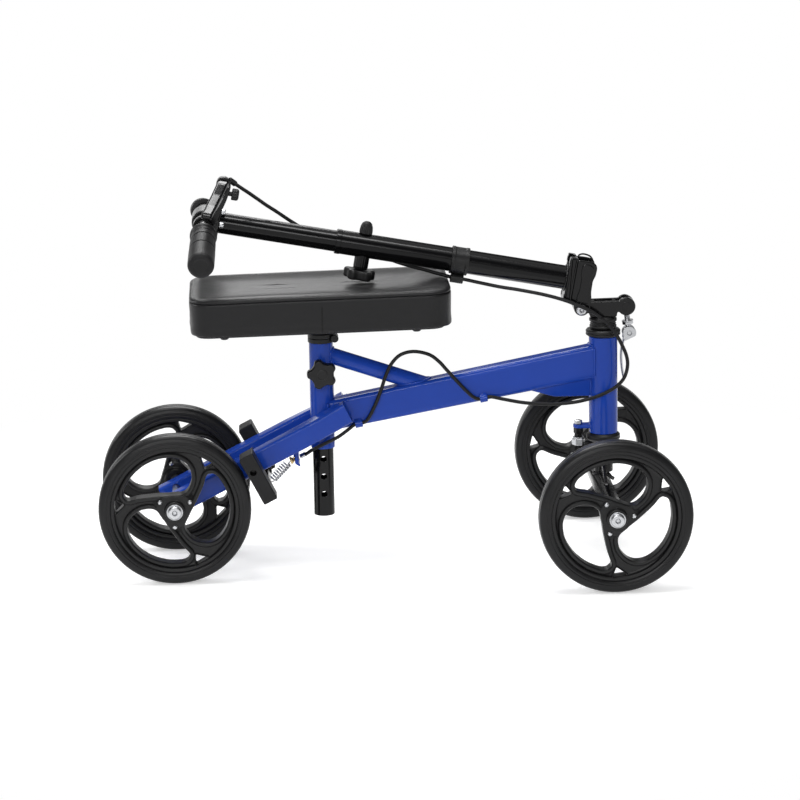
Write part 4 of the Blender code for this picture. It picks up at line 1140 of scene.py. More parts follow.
def make_brake():
    """The bar across the tyres, with an arm at either rail, and the two rubber shoes on its ends."""
    x, z = SHOE_PIVOT
    arm = along_shoe(eased([
        (-9, -3), (-6, -7), (0, -9), (36, -6), (47, -5), (47, 6), (36, 8), (0, 9), (-6, 7), (-9, 3),
    ], 4.0, True))
    bridge = along_shoe(eased([(35.5, -3.6), (46, -3.6), (46, 4.6), (35.5, 4.6)], 2.0, True))
    hole = tube((x, -120, z), (x, 120, z), 4.4, 0, 0.1, 28)
    seam = along_shoe([(36, -4.2), (41, -4.4), (45.6, -4.2)])
    shells = [slab(bridge, -65.4, 65.4, 0.8)]
    for side in (-1, 1):
        shells.append(carve(slab(arm, side * 52.8 - 2.2, side * 52.8 + 2.2, 0.6), [hole]))
        shells.append(bead(np.stack([seam[:, 0], np.full(3, side * 50.2), seam[:, 1]], -1), 1.1))
    piece("brake_shoe_bar", shells, "black_paint", "brake_shoes", ["brake_shoe_frame"])
    outline = [(-24, -7), (-21, -9), (10, -8), (45.5, -8), (45.5, 11.6), (-24, 11.6)]
    block = along_shoe(eased(outline, 2.2, True))
    for side, low, high in sides(66.3, 97.5):
        name = "brake_shoe_right" if side < 0 else "brake_shoe_left"
        # Painted shade: a flat black hexagon deep in each shoe's pivot hole stands in for the dark, shaded
        # hex socket.
        socket = tube((x, side * 84.2, z), (x, side * 86.4, z), 4.2, 0, 0.3, 6)
        piece(name + "_painted_shade_hex", [socket], "black_paint", "brake_shoes")
        shoe = carve(slab(block, low, high, 1.5), [hole])
        piece(name + "_block", [shoe], "black_rubber", "brake_shoes", [name])


def make_spring():
    """The return spring, its adjuster and the inner wire between them."""
    foot, head = np.array((-154.6, 0, 114.2)), np.array((-134.0, 0, 135.4))
    axis = unit(head - foot)
    third = np.cross(axis, Y)
    t = np.linspace(0, 1, SPRING_TURNS * 28 + 1)[:, None]
    angle = 2 * pi * SPRING_TURNS * t
    coil = foot + t * (head - foot) + 5.2 * (np.cos(angle) * Y + np.sin(angle) * third)
    wound = [cord_along(coil, 1.15, axis, 10, 0.9)]
    spring = piece("brake_return_coil", wound, "bright_steel", nodes=["brake_return_spring"], sharp=50)
    route = [
        (-158.4, 0, 110.0), (-151.0, 0, 112.6), (-144.2, 0, 118.4), (-137.4, 0, 127.6), (-133.2, 0, 134.4),
        (-130.8, 0, 138.2),
    ]
    wire = piece("brake_inner_wire", [cord_along(flow(route), 0.8, Y, 10, 0.6)], "bright_steel", sharp=50)
    for made in (spring, wire):
        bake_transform(made)
    pull = unit((0.925, 0, 0.38))
    at = np.array((-130.5, 0, 138.7))
    barrel = fluted([(0, 3.2), (4.8, 3.2), (4.8, 0), (1.6, 0), (1.6, 3)], at, pull, 0.35, 18)
    screw = thread(at + 3 * pull, at + 12.6 * pull, 3.3, 1.0)
    piece("cable_adjuster_barrel", [barrel, screw], "brass", "frame", ["cable_adjuster"])


def grooved(shell, at, axis, depth, lobes, share_of):
    """The radius r dips by depth (1 + cos(lobes a)) / 2 times a share that r gives."""
    e, f = across(axis)
    rel = shell.points - np.asarray(at, float)
    u, v = rel @ e, rel @ f
    r = np.hypot(u, v)
    dip = depth * (1 + np.cos(lobes * np.arctan2(v, u))) / 2 * share_of(r)
    out = (u[:, None] * e + v[:, None] * f) / np.maximum(r, 1e-6)[:, None]
    return Shell(shell.points - dip[:, None] * out, shell.faces)


def fluted(profile, at, axis, depth, lobes):
    """A turned solid with flutes down its outer quarter."""
    widest = max(r for r, _ in profile)
    shell = turned(profile, 0.5, at, axis, lobes * 6)
    return grooved(shell, at, axis, depth, lobes, lambda r: np.clip(r / widest * 4 - 3, 0, 1))


# Steering and fold


def make_steering():
    """The stem, the axle beam with its two webs and welds, the front axle and the spacer rings."""
    stem = tube((STEER_X, 0, 113.4), (STEER_X, 0, 325.2), 12.7, 10.7, 0.8, 64)
    piece("steerer_tube", [stem], "black_paint", "steering", ["steerer_stem"])
    centre = np.array((AXLE_X, 0.0, WHEEL_RADIUS))
    reach = (FRONT_TRACK / 2 - 20.6) * Y
    shells = [tube(centre - reach, centre + reach, 13.0, 10.6, 1.0, 64)]
    for side in (-1, 1):
        web = [(side * 13.0, 110.4), (side * 78, 110.4), (side * 74, 114.5), (side * 13.0, 150)]
        shells.append(plate(web, 2.5, -2.0, 2.0, 0.6, FRONT))
        for x in (-2.6, 2.6):
            foot = [(AXLE_X + x, side * y, 112.6) for y in (16, 36, 56, 74)]
            rise = [(AXLE_X + x, side * 13.4, z) for z in (116, 126, 136, 147)]
            shells += [bead(foot, 1.3, Z), bead(rise, 1.3, Y)]
    a, b = circle(13.6, 24)[::2].T
    top = WHEEL_RADIUS + np.sqrt(np.maximum(13.3**2 - np.minimum((a + 4) ** 2, 170), 2)) + 0.4
    ring = np.stack([STEER_X + a, b, top], -1)
    shells.append(bead(np.vstack([ring, ring[:1]]), 1.5, X + Y))
    piece("front_axle_tube", shells, "black_paint", "steering", ["front_axle_beam"])
    bar = axle_shells(AXLE_X, FRONT_TRACK, 149.7)
    piece("front_axle_bar", bar, "bright_steel", "steering", ["front_axle"])
    stack = [
        (14.6, 325.2), (16.4, 324.2), (18.4, 321.8), (18.4, 319), (17.0, 318.2), (16.4, 317.4),
        (16.4, 316.4), (17.4, 315.9), (17.4, 314.9), (16.4, 314.4), (17.2, 313.4), (18, 312.8), (18, 311),
        (16.8, 308.6), (13.1, 308.6), (13.1, 325.2),
    ]
    shell = revolve(eased(stack, 0.35, True, 3), (STEER_X, 0, 0), Z, 72, True)
    piece("spacer_rings", [shell], "black_plastic", "steering", ["spacer_stack"])


def make_fold_bracket():
    """The fork on the stem: a slot for the swing bolt, one for the foot's rib, two pins through it."""
    outline = np.vstack([
        [(270, 325.5), (305, 325.5), (306, 331.5)], arc(PIN[0], PIN[2], 12, -142, 140, 40), [(262, 346)],
        arc(FOLD_PIVOT[0], FOLD_PIVOT[2], 9.2, 62, 296, 28), [(268, 331.5)],
    ])
    fork = slab(eased(outline, 1.6, True, 3), -13.0, 13.0, 1.3)
    bolt_slot = [(304, 318), (336, 318), (336, 360), (304, 360)]
    top_slot = [(276, 341), (300, 341), (300, 350), (276, 350)]
    cutters = [slab(bolt_slot, -5.6, 5.6, 0.1), plate(top_slot, 2, -5.6, 5.6, 0.1)]
    cutters += [tube((x, -30, z), (x, 30, z), 4.3, 0, 0.1, 32) for x, _, z in (FOLD_PIVOT, PIN)]
    covers = [tube(PIN + side * 11.0 * Y, PIN + side * 13.2 * Y, 6.0, 0, 0.6, 40) for side in (-1, 1)]
    shells = [carve(fork, cutters), *covers]
    piece("fold_fork", shells, "black_paint", "steering", ["fold_bracket"], finish="cast_paint")
    pin = turned([(0, 11.4), (4.0, 11.4), (4.0, -11.4), (0, -11.4)], 0.4, PIN, Y, 32)
    piece("swing_pin", [pin], "bright_steel", "steering", ["swing_bolt_pin"])
    shells = [tube(FOLD_PIVOT - 21 * Y, FOLD_PIVOT + 21 * Y, 4.0, 0, 0.3, 32)]
    rim = [(3.4, 5.2), (5.4, 5.2), (6.8, 3.6), (6.8, 0), (0, 0)]
    for side in (-1, 1):
        shells += socket_head(rim, 0.9, (3.5, 1.6), FOLD_PIVOT + side * 20.4 * Y, side * Y)
    piece("fold_pivot_screw", shells, "bright_steel", "steering", ["fold_pivot_bolt"])


def make_swing_bolt():
    """The clamp's eye bolt with its nut and washer, which hangs from the fork, and its cam lever."""
    down = unit(CAM - PIN)
    eye = tube(PIN - 5 * Y, PIN + 5 * Y, 8.5, 4.3, 0.8, 48)
    rod = thread(PIN + 7 * down, PIN + 39 * down, 4.0, 1.4)
    neck = tube(PIN + 36 * down, PIN + 43 * down, 4.2, 0, 0.5, 24)
    cross = tube(CAM - 6.6 * Y, CAM + 6.6 * Y, 3.0, 0, 0.6, 28)
    piece("swing_bolt_rod", [eye, rod, neck, cross], "bright_steel", "swing_bolt", ["swing_bolt"])
    corners = [(4.1, 26.6), (6.6, 26.6), (7.2, 26.0), (7.2, 23.0), (4.1, 23.0)]
    nut = turned(corners, 0.3, PIN, down, 6, True)
    washer = turned([(4.2, 22.6), (7.7, 22.6), (7.7, 20.8), (4.2, 20.8)], 0.3, PIN, down, 48, True)
    piece("swing_bolt_hex_nut", [nut, washer], "bright_steel", "swing_bolt", ["swing_bolt_nut"])
    piece("cam_lever_blade", cam_shells(), "bright_steel", "cam_lever", ["cam_lever"])


def cam_shells():
    """Two cam cheeks on the cross pin and the thin curved blade that runs down between them."""
    x, z = CAM[0], CAM[2]
    hole = tube(CAM - 20 * Y, CAM + 20 * Y, 3.3, 0, 0.1, 24)
    shells = []
    cheek = np.vstack([arc(x, z, 9, -30, 205, 30), [(314.0, 294.0), (316.6, 291.4)]])
    for _, low, high in sides(4.6, 8.0):
        shells.append(carve(slab(eased(cheek, 0.8, True, 2), low, high, 0.7), [hole]))
    middle = flow([
        (314.6, 294.4), (312.5, 289), (310.9, 280), (310.3, 270), (310.9, 258), (312.4, 248),
        (314.4, 238.6),
    ], 8)
    ahead = unit(np.gradient(middle, axis=0))
    out = np.stack([-ahead[:, 1], ahead[:, 0]], -1)
    t = np.linspace(0, 1, len(middle))
    tip = np.sqrt(np.clip(1 - (np.maximum(t - 0.86, 0) / 0.142) ** 2, 0.02, 1))
    half = np.stack([(8.0 - 2.2 * t**2) * tip, np.full(len(t), 1.6)], -1)
    across_blade, through = np.moveaxis(oblong(2, 2, 0.7, 4)[None] * half[:, None], -1, 0)
    level = (middle + 1.6 * out)[:, None] + through[..., None] * out[:, None]
    return shells + [skin(np.stack([level[..., 0], across_blade, level[..., 1]], -1))]


# Column


def column_tube(v0, y0, u0, v1, y1, u1, outer, bore=0.0, edge=0.8, steps=64):
    """A tube between two points of the column's frame."""
    return tube(put(COLUMN, (v0, y0, u0)), put(COLUMN, (v1, y1, u1)), outer, bore, edge, steps)


def foot_shells():
    """The cast foot: a flange plate for the tube over two waisted fork walls, each with a raised face."""
    wall = [
        (-9.5, 0), (-8, -6), (-3.5, -10.4), (3, -11.5), (14, -11.3), (24, -9.0), (40, -8.6), (46, -11.0),
        (57, -11.5), (62, -9.0), (64.2, -4), (64.6, 3), (64.0, 16), (7.4, 16), (7, 12), (-2, 9.5),
        (-7.5, 6),
    ]
    face = [
        (8.5, -7.6), (14, -7.6), (24, -5.4), (40, -5.2), (47, -7.6), (56, -7.8), (60, -3), (60.4, 2),
        (59.6, 8.6), (46, 9.2), (40, 7.0), (24, 7.0), (17, 9.0), (8.5, 8.6),
    ]
    hole = column_tube(0, -40, 0, 0, 40, 0, 4.4, 0, 0.1, 32)
    shells = []
    for _, low, high in sides(13.4, 17.6):
        shells.append(carve(plate(wall, 3.2, low, high, 1.8, COLUMN_SIDE, 5), [hole]))
    for _, low, high in sides(16.8, 19.4):
        shells.append(plate(face, 3.6, low, high, 1.2, COLUMN_SIDE, 5))
    flange = [(6, 15.6), (66.4, 15.6), (66.4, 26), (6, 26)]
    block = plate(flange, 2.0, -20.0, 20.0, 3.0, COLUMN_SIDE, 5)
    rib = plate([(12, 8.7), (46, 8.7), (46, 17), (12, 17)], 1.2, -13.6, 13.6, 0.5, COLUMN_SIDE)
    cutters = [
        column_tube(COLUMN_OFFSET, 0, 14.2, COLUMN_OFFSET, 0, 40, 16.2, 0, 0.1),
        slab([(54, 8), (80, 8), (80, 40), (54, 40)], -5.8, 5.8, 0.1, COLUMN_SIDE),
        slab([(52.3, 20), (80, 20), (80, 40), (52.3, 40)], -10.5, 10.5, 0.1, COLUMN_SIDE),
    ]
    shells += [carve(block, cutters), carve(rib, cutters)]
    for v in (12.5, 59.5):
        for y in (-1, 1):
            shells.append(column_tube(v, y * 14.6, 24.8, v, y * 14.6, 26.6, 3.4, 0, 0.8, 24))
    return shells


def upright(section, easing, steps=64):
    """A closed section turned about the column's own centre line."""
    return turned(section, easing, put(COLUMN, (COLUMN_OFFSET, 0, 0)), UP_COLUMN, steps, True)


def make_column():
    """The foot with its weld and loop, the outer tube with its boss, and the pieces on it."""
    shells = foot_shells()
    a = np.linspace(0, 2 * pi, 25)
    ring = np.stack([COLUMN_OFFSET + 16.6 * np.cos(a), 16.6 * np.sin(a), np.full(25, 26.4)], -1)
    shells.append(bead(put(COLUMN, ring), 1.5, UP_COLUMN))
    piece("column_foot_casting", shells, "black_paint", "column", ["column_foot"], finish="cast_paint")
    side = np.array([(61.5, 12.6), (65.4, 11.6), (67.5, 8.0), (67.7, 2.4), (66.0, -3.4), (61.5, -8.0)])
    loop = flow(np.stack([side[:, 0], np.full(6, 15.4), side[:, 1]], -1), 8)
    wire = cord_along(put(COLUMN, loop), 1.15, Y, 16, 1.1)
    piece("retaining_wire", [wire], "black_plastic", "column", ["retaining_loop"])
    bore = column_tube(COLUMN_OFFSET, 0, KNOB_U - 30, COLUMN_OFFSET, 0, KNOB_U + 30, 14.4, 0, 0.1)
    body = upright([(COLUMN_RADIUS, 334), (COLUMN_RADIUS, 14.6), (14.4, 14.6), (14.4, 334)], 0.7, 72)
    ring = column_tube(COLUMN_OFFSET, 0, 327, COLUMN_OFFSET, 0, 334, 16.4, 14.4, 0.9)
    shells = [body, carve(knob_boss(), [bore]), ring]
    piece("outer_column", shells, "black_paint", "column", ["outer_tube"])
    at = put(COLUMN, (COLUMN_OFFSET + 16.2, 0, KNOB_U + 0.5))
    cap = [(0, 16.6), (3.4, 16.1), (6.3, 13.8), (8.1, 9.6), (8.8, 4.6), (8.8, 0.6), (8.3, 0), (0, 0)]
    piece("cap_nut_ribbed", [fluted(cap, at, AWAY, 0.8, 14)], "black_rubber", "column", ["column_cap_nut"])
    piece("cable_clip_band", clip_shells(), "black_plastic", "column", ["cable_clip"])
    make_knob("height_knob", put(COLUMN, (3.6, 0, KNOB_U)), AWAY, 17.5, 12.6, 21.4, 0.3)


def knob_boss():
    """The ribbed boss that carries the knob's screw below the tube."""
    start = put(COLUMN, (28, 0, KNOB_U))
    profile = [(4.3, 23.6), (9.4, 23.6), (9.8, 20), (9.8, 0), (4.3, 0)]
    ribs = 20
    shell = turned(profile, 0.6, start, -AWAY, ribs * 6, True)
    return grooved(shell, start, -AWAY, 0.5, ribs, lambda r: r > 7.5)


def clip_shells():
    """A band round the tube with an eye for the cable."""
    cable = bpy.context.scene.walker_sizes.cable_radius / MM
    band = upright([
        (18.4, 180), (18.4, 176), (17.9, 175.4), (17.9, 161.6), (18.4, 161), (18.4, 157), (16.4, 157),
        (16.4, 180),
    ], 0.5)
    eye = column_tube(12.6, -4, 160, 12.6, -4, 177, 6.4, 0, 0.8, 40)
    cutters = [
        column_tube(12.6, -4, 150, 12.6, -4, 190, cable + 0.6, 0, 0.1, 24),
        column_tube(COLUMN_OFFSET, 0, 150, COLUMN_OFFSET, 0, 190, 16.4, 0, 0.1, 64),
    ]
    return [band, carve(eye, cutters)]


# Handlebar


def bar_point(y):
    """The bar's centre line, which bends back outside the clamps."""
    y = np.asarray(y, float)
    return np.stack([BAR_V - 0.16 * np.maximum(np.abs(y) - 60, 0), y, np.full(y.shape, BAR_U)], -1)


def make_handlebar():
    """The inner tube with its row of holes, the bar, its clamp, the clamp's bolts and the grips."""
    body = upright([(INNER_RADIUS, 488), (INNER_RADIUS, 135), (12.4, 135), (12.4, 488)], 0.5)
    spots = KNOB_U + HOLE_PITCH * np.arange(5)
    holes = [column_tube(10, 0, u, COLUMN_OFFSET, 0, u, KNOB_HOLE, 0, 0.1, 28) for u in spots]
    piece("inner_column", [carve(body, holes)], "black_paint", "handlebar", ["inner_tube"])
    line = eased(bar_point((-197, -60, 60, 197)), 16.0, False, 10)
    bar = cord_along(put(COLUMN, line), BAR_RADIUS, UP_COLUMN, 48)
    piece("handlebar_tube", [bar], "black_paint", "handlebar", ["handlebar"])
    flange = [
        (0, 500), (19.4, 500), (22.8, 497), (22.8, 490.4), (21.5, 488.4), (12.2, 488.4), (12.2, 470),
        (0, 470),
    ]
    head = turned(flange, 1.2, put(COLUMN, (COLUMN_OFFSET, 0, 0)), UP_COLUMN, 64)
    shell = along_bar(-21, 21, 16.6, 1.6)
    bore = along_bar(-40, 40, BAR_BORE, 0.1)
    slit = slab([(10, 507.4), (60, 507.4), (60, 508.6), (10, 508.6)], -22.0, 22.0, 0.1, COLUMN_SIDE)
    clamp = [carve(head, [bore]), carve(shell, [bore, slit])]
    piece("bar_clamp_block", clamp, "black_plastic", "handlebar", ["bar_clamp"], finish="smooth_plastic")
    rim = [(2.0, 5.6), (3.6, 5.6), (4.2, 4.8), (4.2, 0), (0, 0)]
    for name, v, y in (("clamp_bolt_upper", 51.9, -9.4), ("clamp_bolt_lower", 36.2, -18.8)):
        shells = socket_head(rim, 0.5, (2.05, 1.0), put(COLUMN, (v, y, 488.1)), -UP_COLUMN, 36)
        piece(name + "_head", shells, "bright_steel", "handlebar", [name])
    make_grips()


def along_bar(left, right, radius, edge):
    """A round solid on the bar's straight middle, between two values of y."""
    return column_tube(BAR_V, left, BAR_U, BAR_V, right, BAR_U, radius, 0, edge)


def make_grips():
    """Grips turned from one profile along the bent bar: flange, fine grooves, slow swell, round end."""
    for side, name in ((-1, "grip_right"), (1, "grip_left")):
        start, end = put(COLUMN, bar_point((side * 88, side * 205)))
        length = np.linalg.norm(end - start)
        profile = [
            (0, length - 0.6), (9.0, length - 0.6), (10.2, length), (13.4, length), (16.0, length - 2.2),
            (17.0, length - 6.0), (17.0, 69), (16.9, 67.2), (15.5, 66.4), (15.5, 64.2), (16.8, 63.4),
            (16.7, 36), (16.6, 34.2), (15.3, 33.4), (15.3, 31.2), (16.5, 30.4), (16.2, 18), (15.3, 17.4),
            (15.3, 16.2), (16.1, 15.6), (16.0, 8.6), (17.2, 6.4), (17.6, 5.0), (17.6, 0.8), (16.8, 0),
            (11.5, 0), (11.5, length - 6.6), (0, length - 6.6),
        ]
        shell = revolve(eased(profile, 0.8, False, 3), start, end - start, 72)
        piece(name + "_sleeve", [shell], "black_rubber", "handlebar", [name])


def make_brake_controls():
    """The bracket on the bar, its pin, the lever's blade and the lock button."""
    ring = along_bar(-56, -44.5, 15.0, 1.2)
    arm = [
        (BAR_V + 4, BAR_U + 6), (86, 500.5), (97, 502), (103.5, 499), (105.6, 492.5), (103, 484.6),
        (93, 482.0), (76, 484.8), (BAR_V + 2, BAR_U - 13),
    ]
    bore = along_bar(-80, -20, BAR_BORE, 0.1)
    button = column_tube(84, LEVER_Y, 470, 84, LEVER_Y, 491, 3.6, 0, 0.1, 28)
    body = carve(plate(arm, 3.8, -56.4, -43.6, 1.7, COLUMN_SIDE, 4), [bore, button])
    shells, nodes = [carve(ring, [bore]), body], ["brake_bracket"]
    piece("brake_lever_bracket", shells, "black_plastic", "handlebar", nodes, finish="smooth_plastic")
    pin = [(0, 7.0), (3.4, 7.0), (3.8, 6.2), (3.8, -6.2), (3.4, -7.0), (0, -7.0)]
    pin = turned(pin, 0.3, put(COLUMN, (92, LEVER_Y, 491)), Y, 28)
    piece("brake_lever_pin", [pin], "bright_steel", "handlebar")
    blade = eased([
        (-59.5, 97), (-62.5, 101.4), (-76, 99.6), (-100, 89.0), (-130, 78), (-152, 71), (-156, 67),
        (-154, 63), (-149, 63.2), (-128, 70), (-98, 80), (-70, 89), (-59.5, 88),
    ], 3.0, True)
    tilt = radians(-11)
    b = cos(tilt) * Y + sin(tilt) * UP_COLUMN
    c = cos(tilt) * UP_COLUMN - sin(tilt) * Y
    place = Place(put(COLUMN, (0, -58, 491.5)), AWAY, b, c)
    lever = slab(np.stack([blade[:, 1], blade[:, 0] + 58], -1), -7.4, 7.4, 3.6, place, 5)
    piece("brake_lever_blade", [lever], "black_paint", "brake_lever", ["brake_lever"])
    cap = [(0, 9.6), (5.2, 9.4), (6.8, 8.6), (7.7, 7.0), (7.7, 0.8), (7.0, 0), (3, 0), (3, -9), (0, -9)]
    cap = fluted(cap, put(COLUMN, (84, LEVER_Y, 479.7)), -UP_COLUMN, 0.5, 12)
    piece("lock_button_cap", [cap], "black_plastic", "brake_lock_button", ["brake_lock_button"])


# Cables


# The brake cable's four runs, given point by point. The first two are in the column's frame.
LEVER_RUN = [
    (99.6, -45.0, 482.2), (92.2, -35.5, 470), (84.4, -24.0, 456.7), (75.8, -9.5, 443.5),
    (67.4, 5.0, 430.9), (60.8, 11.6, 418), (54.6, 15.0, 405.8), (48.6, 17.4, 393.5), (43.4, 19.0, 381),
    (39.4, 20.2, 362), (36.4, 20.8, 338), (32.6, 20.6, 312), (27.0, 18.8, 288), (22.6, 15.9, 268),
    (18.9, 12.0, 250), (16.8, 7.6, 230), (15.7, 3.2, 211), (14.7, -1.0, 197), (14.1, -3.2, 187),
    (13.5, -3.9, 181), (12.8, -4.0, 175), (12.6, -4, 168.3),
]
FOLD_RUN = [
    (12.6, -4, 168.0), (12.6, -4.0, 158), (12.0, -7.0, 138), (12.0, -14.0, 111), (12.9, -19.0, 84.9),
    (12.5, -23.5, 52), (10, -27.0, 24.7), (4.7, -28.6, -0.2), (0.2, -28.6, -14.5), (-5.2, -28.6, -26.0),
]
STEER_RUN = [
    (282.8, -28.6, 327.4), (292.9, -28.6, 318.1), (302.1, -28.2, 305.6), (310.2, -27.0, 290.4),
    (316.3, -26.0, 275.1), (317.7, -25.0, 261.3), (313.8, -24.2, 246.3), (305.1, -24.2, 235.6),
    (293.1, -24.2, 227.8), (278.5, -24.2, 221.4), (261.2, -24.0, 216.5), (241.3, -23.0, 213.0),
    (214.9, -21.0, 211.6), (181.8, -19.5, 213.9), (155.3, -18.8, 219.0), (138.5, -18.4, 222.8),
    (132.2, -18.4, 222.4), (126.9, -18.4, 221.45),
]
FRAME_RUN = [
    (126.9, -18.4, 221.45), (121.0, -18.4, 220.5), (113.5, -19.0, 223.6), (103, -19.5, 233.5),
    (89.3, -19.5, 248.8), (78, -19.5, 262), (68.4, -19.5, 273.1), (55.3, -19.5, 282.9),
    (35.6, -19.5, 287.5), (18.4, -19.5, 283.9), (6.3, -19.5, 272.8), (-1.9, -19.5, 256.8),
    (-8.9, -19.5, 236.6), (-15.8, -19.5, 219.2), (-23.5, -19.5, 203.5), (-29, -18.9, 195.2),
    (-34.0, -18.4, 192.4), (-39.0, -18.4, 191.6), (-44.6, -18.4, 190.4), (-52.5, -19.0, 184.5),
    (-67.0, -20.5, 174.6), (-84.4, -20.8, 166.2), (-100, -16.0, 157.6), (-108, -6.0, 150.0),
    (-112.0, -1.8, 147.2), (-116.0, -0.2, 144.9),
]


def make_cables():
    """The brake cable in four runs. Each run that crosses a joint is made without a body."""
    radius = bpy.context.scene.walker_sizes.cable_radius / MM
    lever, fold, steer, last = (flow(run, 7) for run in (LEVER_RUN, FOLD_RUN, STEER_RUN, FRAME_RUN))
    lever, fold = put(COLUMN, lever), put(COLUMN, fold)
    to_clip = put(COLUMN, [(60, 0, 440), (20, 0, 215)])
    to_fork = put(COLUMN, [(12, -20, 60), (-4, -28, -22)])
    to_beam = np.array([(305.0, -27.0, 300.0), (287.0, -24.0, 224.0)])
    for name, path, up, first, second, (start, end) in (
        ("lever_cable", lever, AWAY + 0.2 * Y, "handlebar", "column", to_clip),
        ("fold_cable", fold, Y, "column", "steering", to_fork),
        ("steer_cable", steer, Y, "steering", "frame", to_beam),
    ):
        housing = [cord_along(path, radius, up, 16)]
        made = piece(name + "_housing", housing, "black_rubber", nodes=[name], sharp=50)
        start * MM
        end * MM
        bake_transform(made)
    ahead = unit(lever[3] - lever[0])
    sleeve = [(0, 13), (3.2, 13), (3.9, 12), (3.9, 1), (3.2, 0), (0, 0)]
    sleeve = fluted(sleeve, lever[0] - 5 * ahead, ahead, 0.4, 10)
    piece("lever_cable_sleeve", [sleeve], "black_plastic", "handlebar")
    housing = [cord_along(last, radius, Y, 16)]
    piece("frame_cable_housing", housing, "black_rubber", "frame", ["frame_cable"], sharp=50)
    before, end = np.array(FRAME_RUN[-2:])
    ahead = unit(end - before)
    ferrule = tube(end - 7 * ahead, end + 1.0 * ahead, 3.2, 0, 0.5, 32)
    piece("cable_ferrule", [ferrule], "bright_steel", "frame")


# Stage

# The photograph's camera: azimuth, elevation and roll in degrees, the rest in metres
CAMERA_ANGLES = (-2.692, 13.2, -0.964)
CAMERA_TARGET = (0.01697, 0, 0.21779)
CAMERA_DISTANCE = 4.5073
FOCAL_PIXELS = 3393


def make_camera():
    """The camera at the photograph's angle, with a long lens."""
    az, el, roll = (radians(a) for a in CAMERA_ANGLES)
    back = Vector((sin(az) * cos(el), -cos(az) * cos(el), sin(el)))
    right = Vector((cos(az), sin(az), 0))
    over = back.cross(right)
    side = cos(roll) * right + sin(roll) * over
    top = -sin(roll) * right + cos(roll) * over
    data = bpy.data.cameras.new("Camera")
    data.sensor_width = 36
    data.lens = 36 * FOCAL_PIXELS / 800
    data.clip_end = 60
    camera = bpy.data.objects.new("Camera", data)
    bpy.context.scene.collection.objects.link(camera)
    turn = Matrix((side, top, back)).transposed().to_4x4()
    camera.matrix_world = Matrix.Translation(Vector(CAMERA_TARGET) + back * CAMERA_DISTANCE) @ turn
    bpy.context.scene.camera = camera


# Name, place, aim, size and share of the lamp power
LAMPS = (
    ("Overhead", (-0.1, -0.3, 2.6), (0, 0, 0.2), (1.6, 0.5), 0.7),
    ("Front", (-0.7, -3.4, 1.7), (0, 0, 0.25), (2.4, 0.8), 1.0),
    ("Left", (-2.8, 0.7, 1.7), (0, 0, 0.3), (0.8, 0.8), 0.8),
    ("Back", (-0.15, 2.4, 1.75), (-0.1, 0, 0.35), (1.1, 0.6), 0.22),
    ("Low back", (-0.35, 2.4, 1.12), (-0.12, 0, 0.37), (0.9, 0.36), 0.06),
    ("High back", (-0.3, 1.7, 2.45), (-0.1, 0, 0.35), (1.5, 0.3), 0.4),
)


def area_light(name, at, toward, size, power):
    """A rectangular lamp that faces a point."""
    data = bpy.data.lights.new(name, "AREA")
    data.shape = "RECTANGLE"
    data.size, data.size_y = size
    data.energy = power
    lamp = bpy.data.objects.new(name, data)
    lamp.location = at
    lamp.rotation_euler = (Vector(toward) - Vector(at)).to_track_quat("-Z", "Y").to_euler()
    bpy.context.scene.collection.objects.link(lamp)


def floor_material(settings):
    """A white floor: its own shaded colour plus an even glow that lifts the lit part to white, fading
    to plain white away from the object. Only rays that see the background get the glow."""
    finish = Finish("Pale floor")
    finish.tree.nodes.clear()
    spot = finish.node("ShaderNodeTexCoord", out="Object")
    distance = finish.node("ShaderNodeVectorMath", {"operation": "LENGTH"}, {0: spot}, "Value")
    near = {"Value": distance, "From Min": 0.55, "From Max": 1.0}
    fade = finish.node("ShaderNodeMapRange", {"interpolation_type": "SMOOTHSTEP"}, near)
    clear, glossy = finish.seen()
    seen = clear.math("MAXIMUM", clear, glossy)
    diffuse = finish.node("ShaderNodeBsdfDiffuse", inputs={"Color": (0.8, 0.8, 0.8)})
    glow = finish.node("ShaderNodeEmission", inputs={"Strength": seen * settings.floor_glow})
    both = finish.node("ShaderNodeAddShader", inputs={0: diffuse, 1: glow})
    plain = finish.node("ShaderNodeEmission", inputs={"Strength": settings.floor_white})
    mix = finish.node("ShaderNodeMixShader", inputs={0: fade * seen, 1: both, 2: plain})
    finish.node("ShaderNodeOutputMaterial", inputs={"Surface": mix})
    return finish.material


def make_world(settings):
    """White to the camera. Mirror rays see white at the horizon, a dim band above it and a soft overhead
    glow. Other rays get the even room light."""
    world = bpy.data.worlds.new("Studio")
    bpy.context.scene.world = world
    world.use_nodes = True
    world.node_tree.nodes.clear()
    nodes = Nodes(world.node_tree)
    clear, glossy = nodes.seen()
    spot = nodes.node("ShaderNodeTexCoord", out="Generated")
    rise = nodes.node("ShaderNodeSeparateXYZ", inputs={0: spot}, out="Z")
    dim = settings.dim_band
    bands = ((0.0, 1.0), (0.08, 1.0), (0.17, dim), (0.74, dim), (0.86, 0.9))
    stops = [(at, (level,) * 3) for at, level in bands]
    mirrored = nodes.node("ShaderNodeValToRGB", {"stops": stops}, {"Fac": rise})
    level = settings.room_light * (1 - glossy) + glossy * mirrored
    strength = level * (1 - clear) + clear
    background = nodes.node("ShaderNodeBackground", inputs={"Color": (1, 1, 1), "Strength": strength})
    nodes.node("ShaderNodeOutputWorld", inputs={"Surface": background})


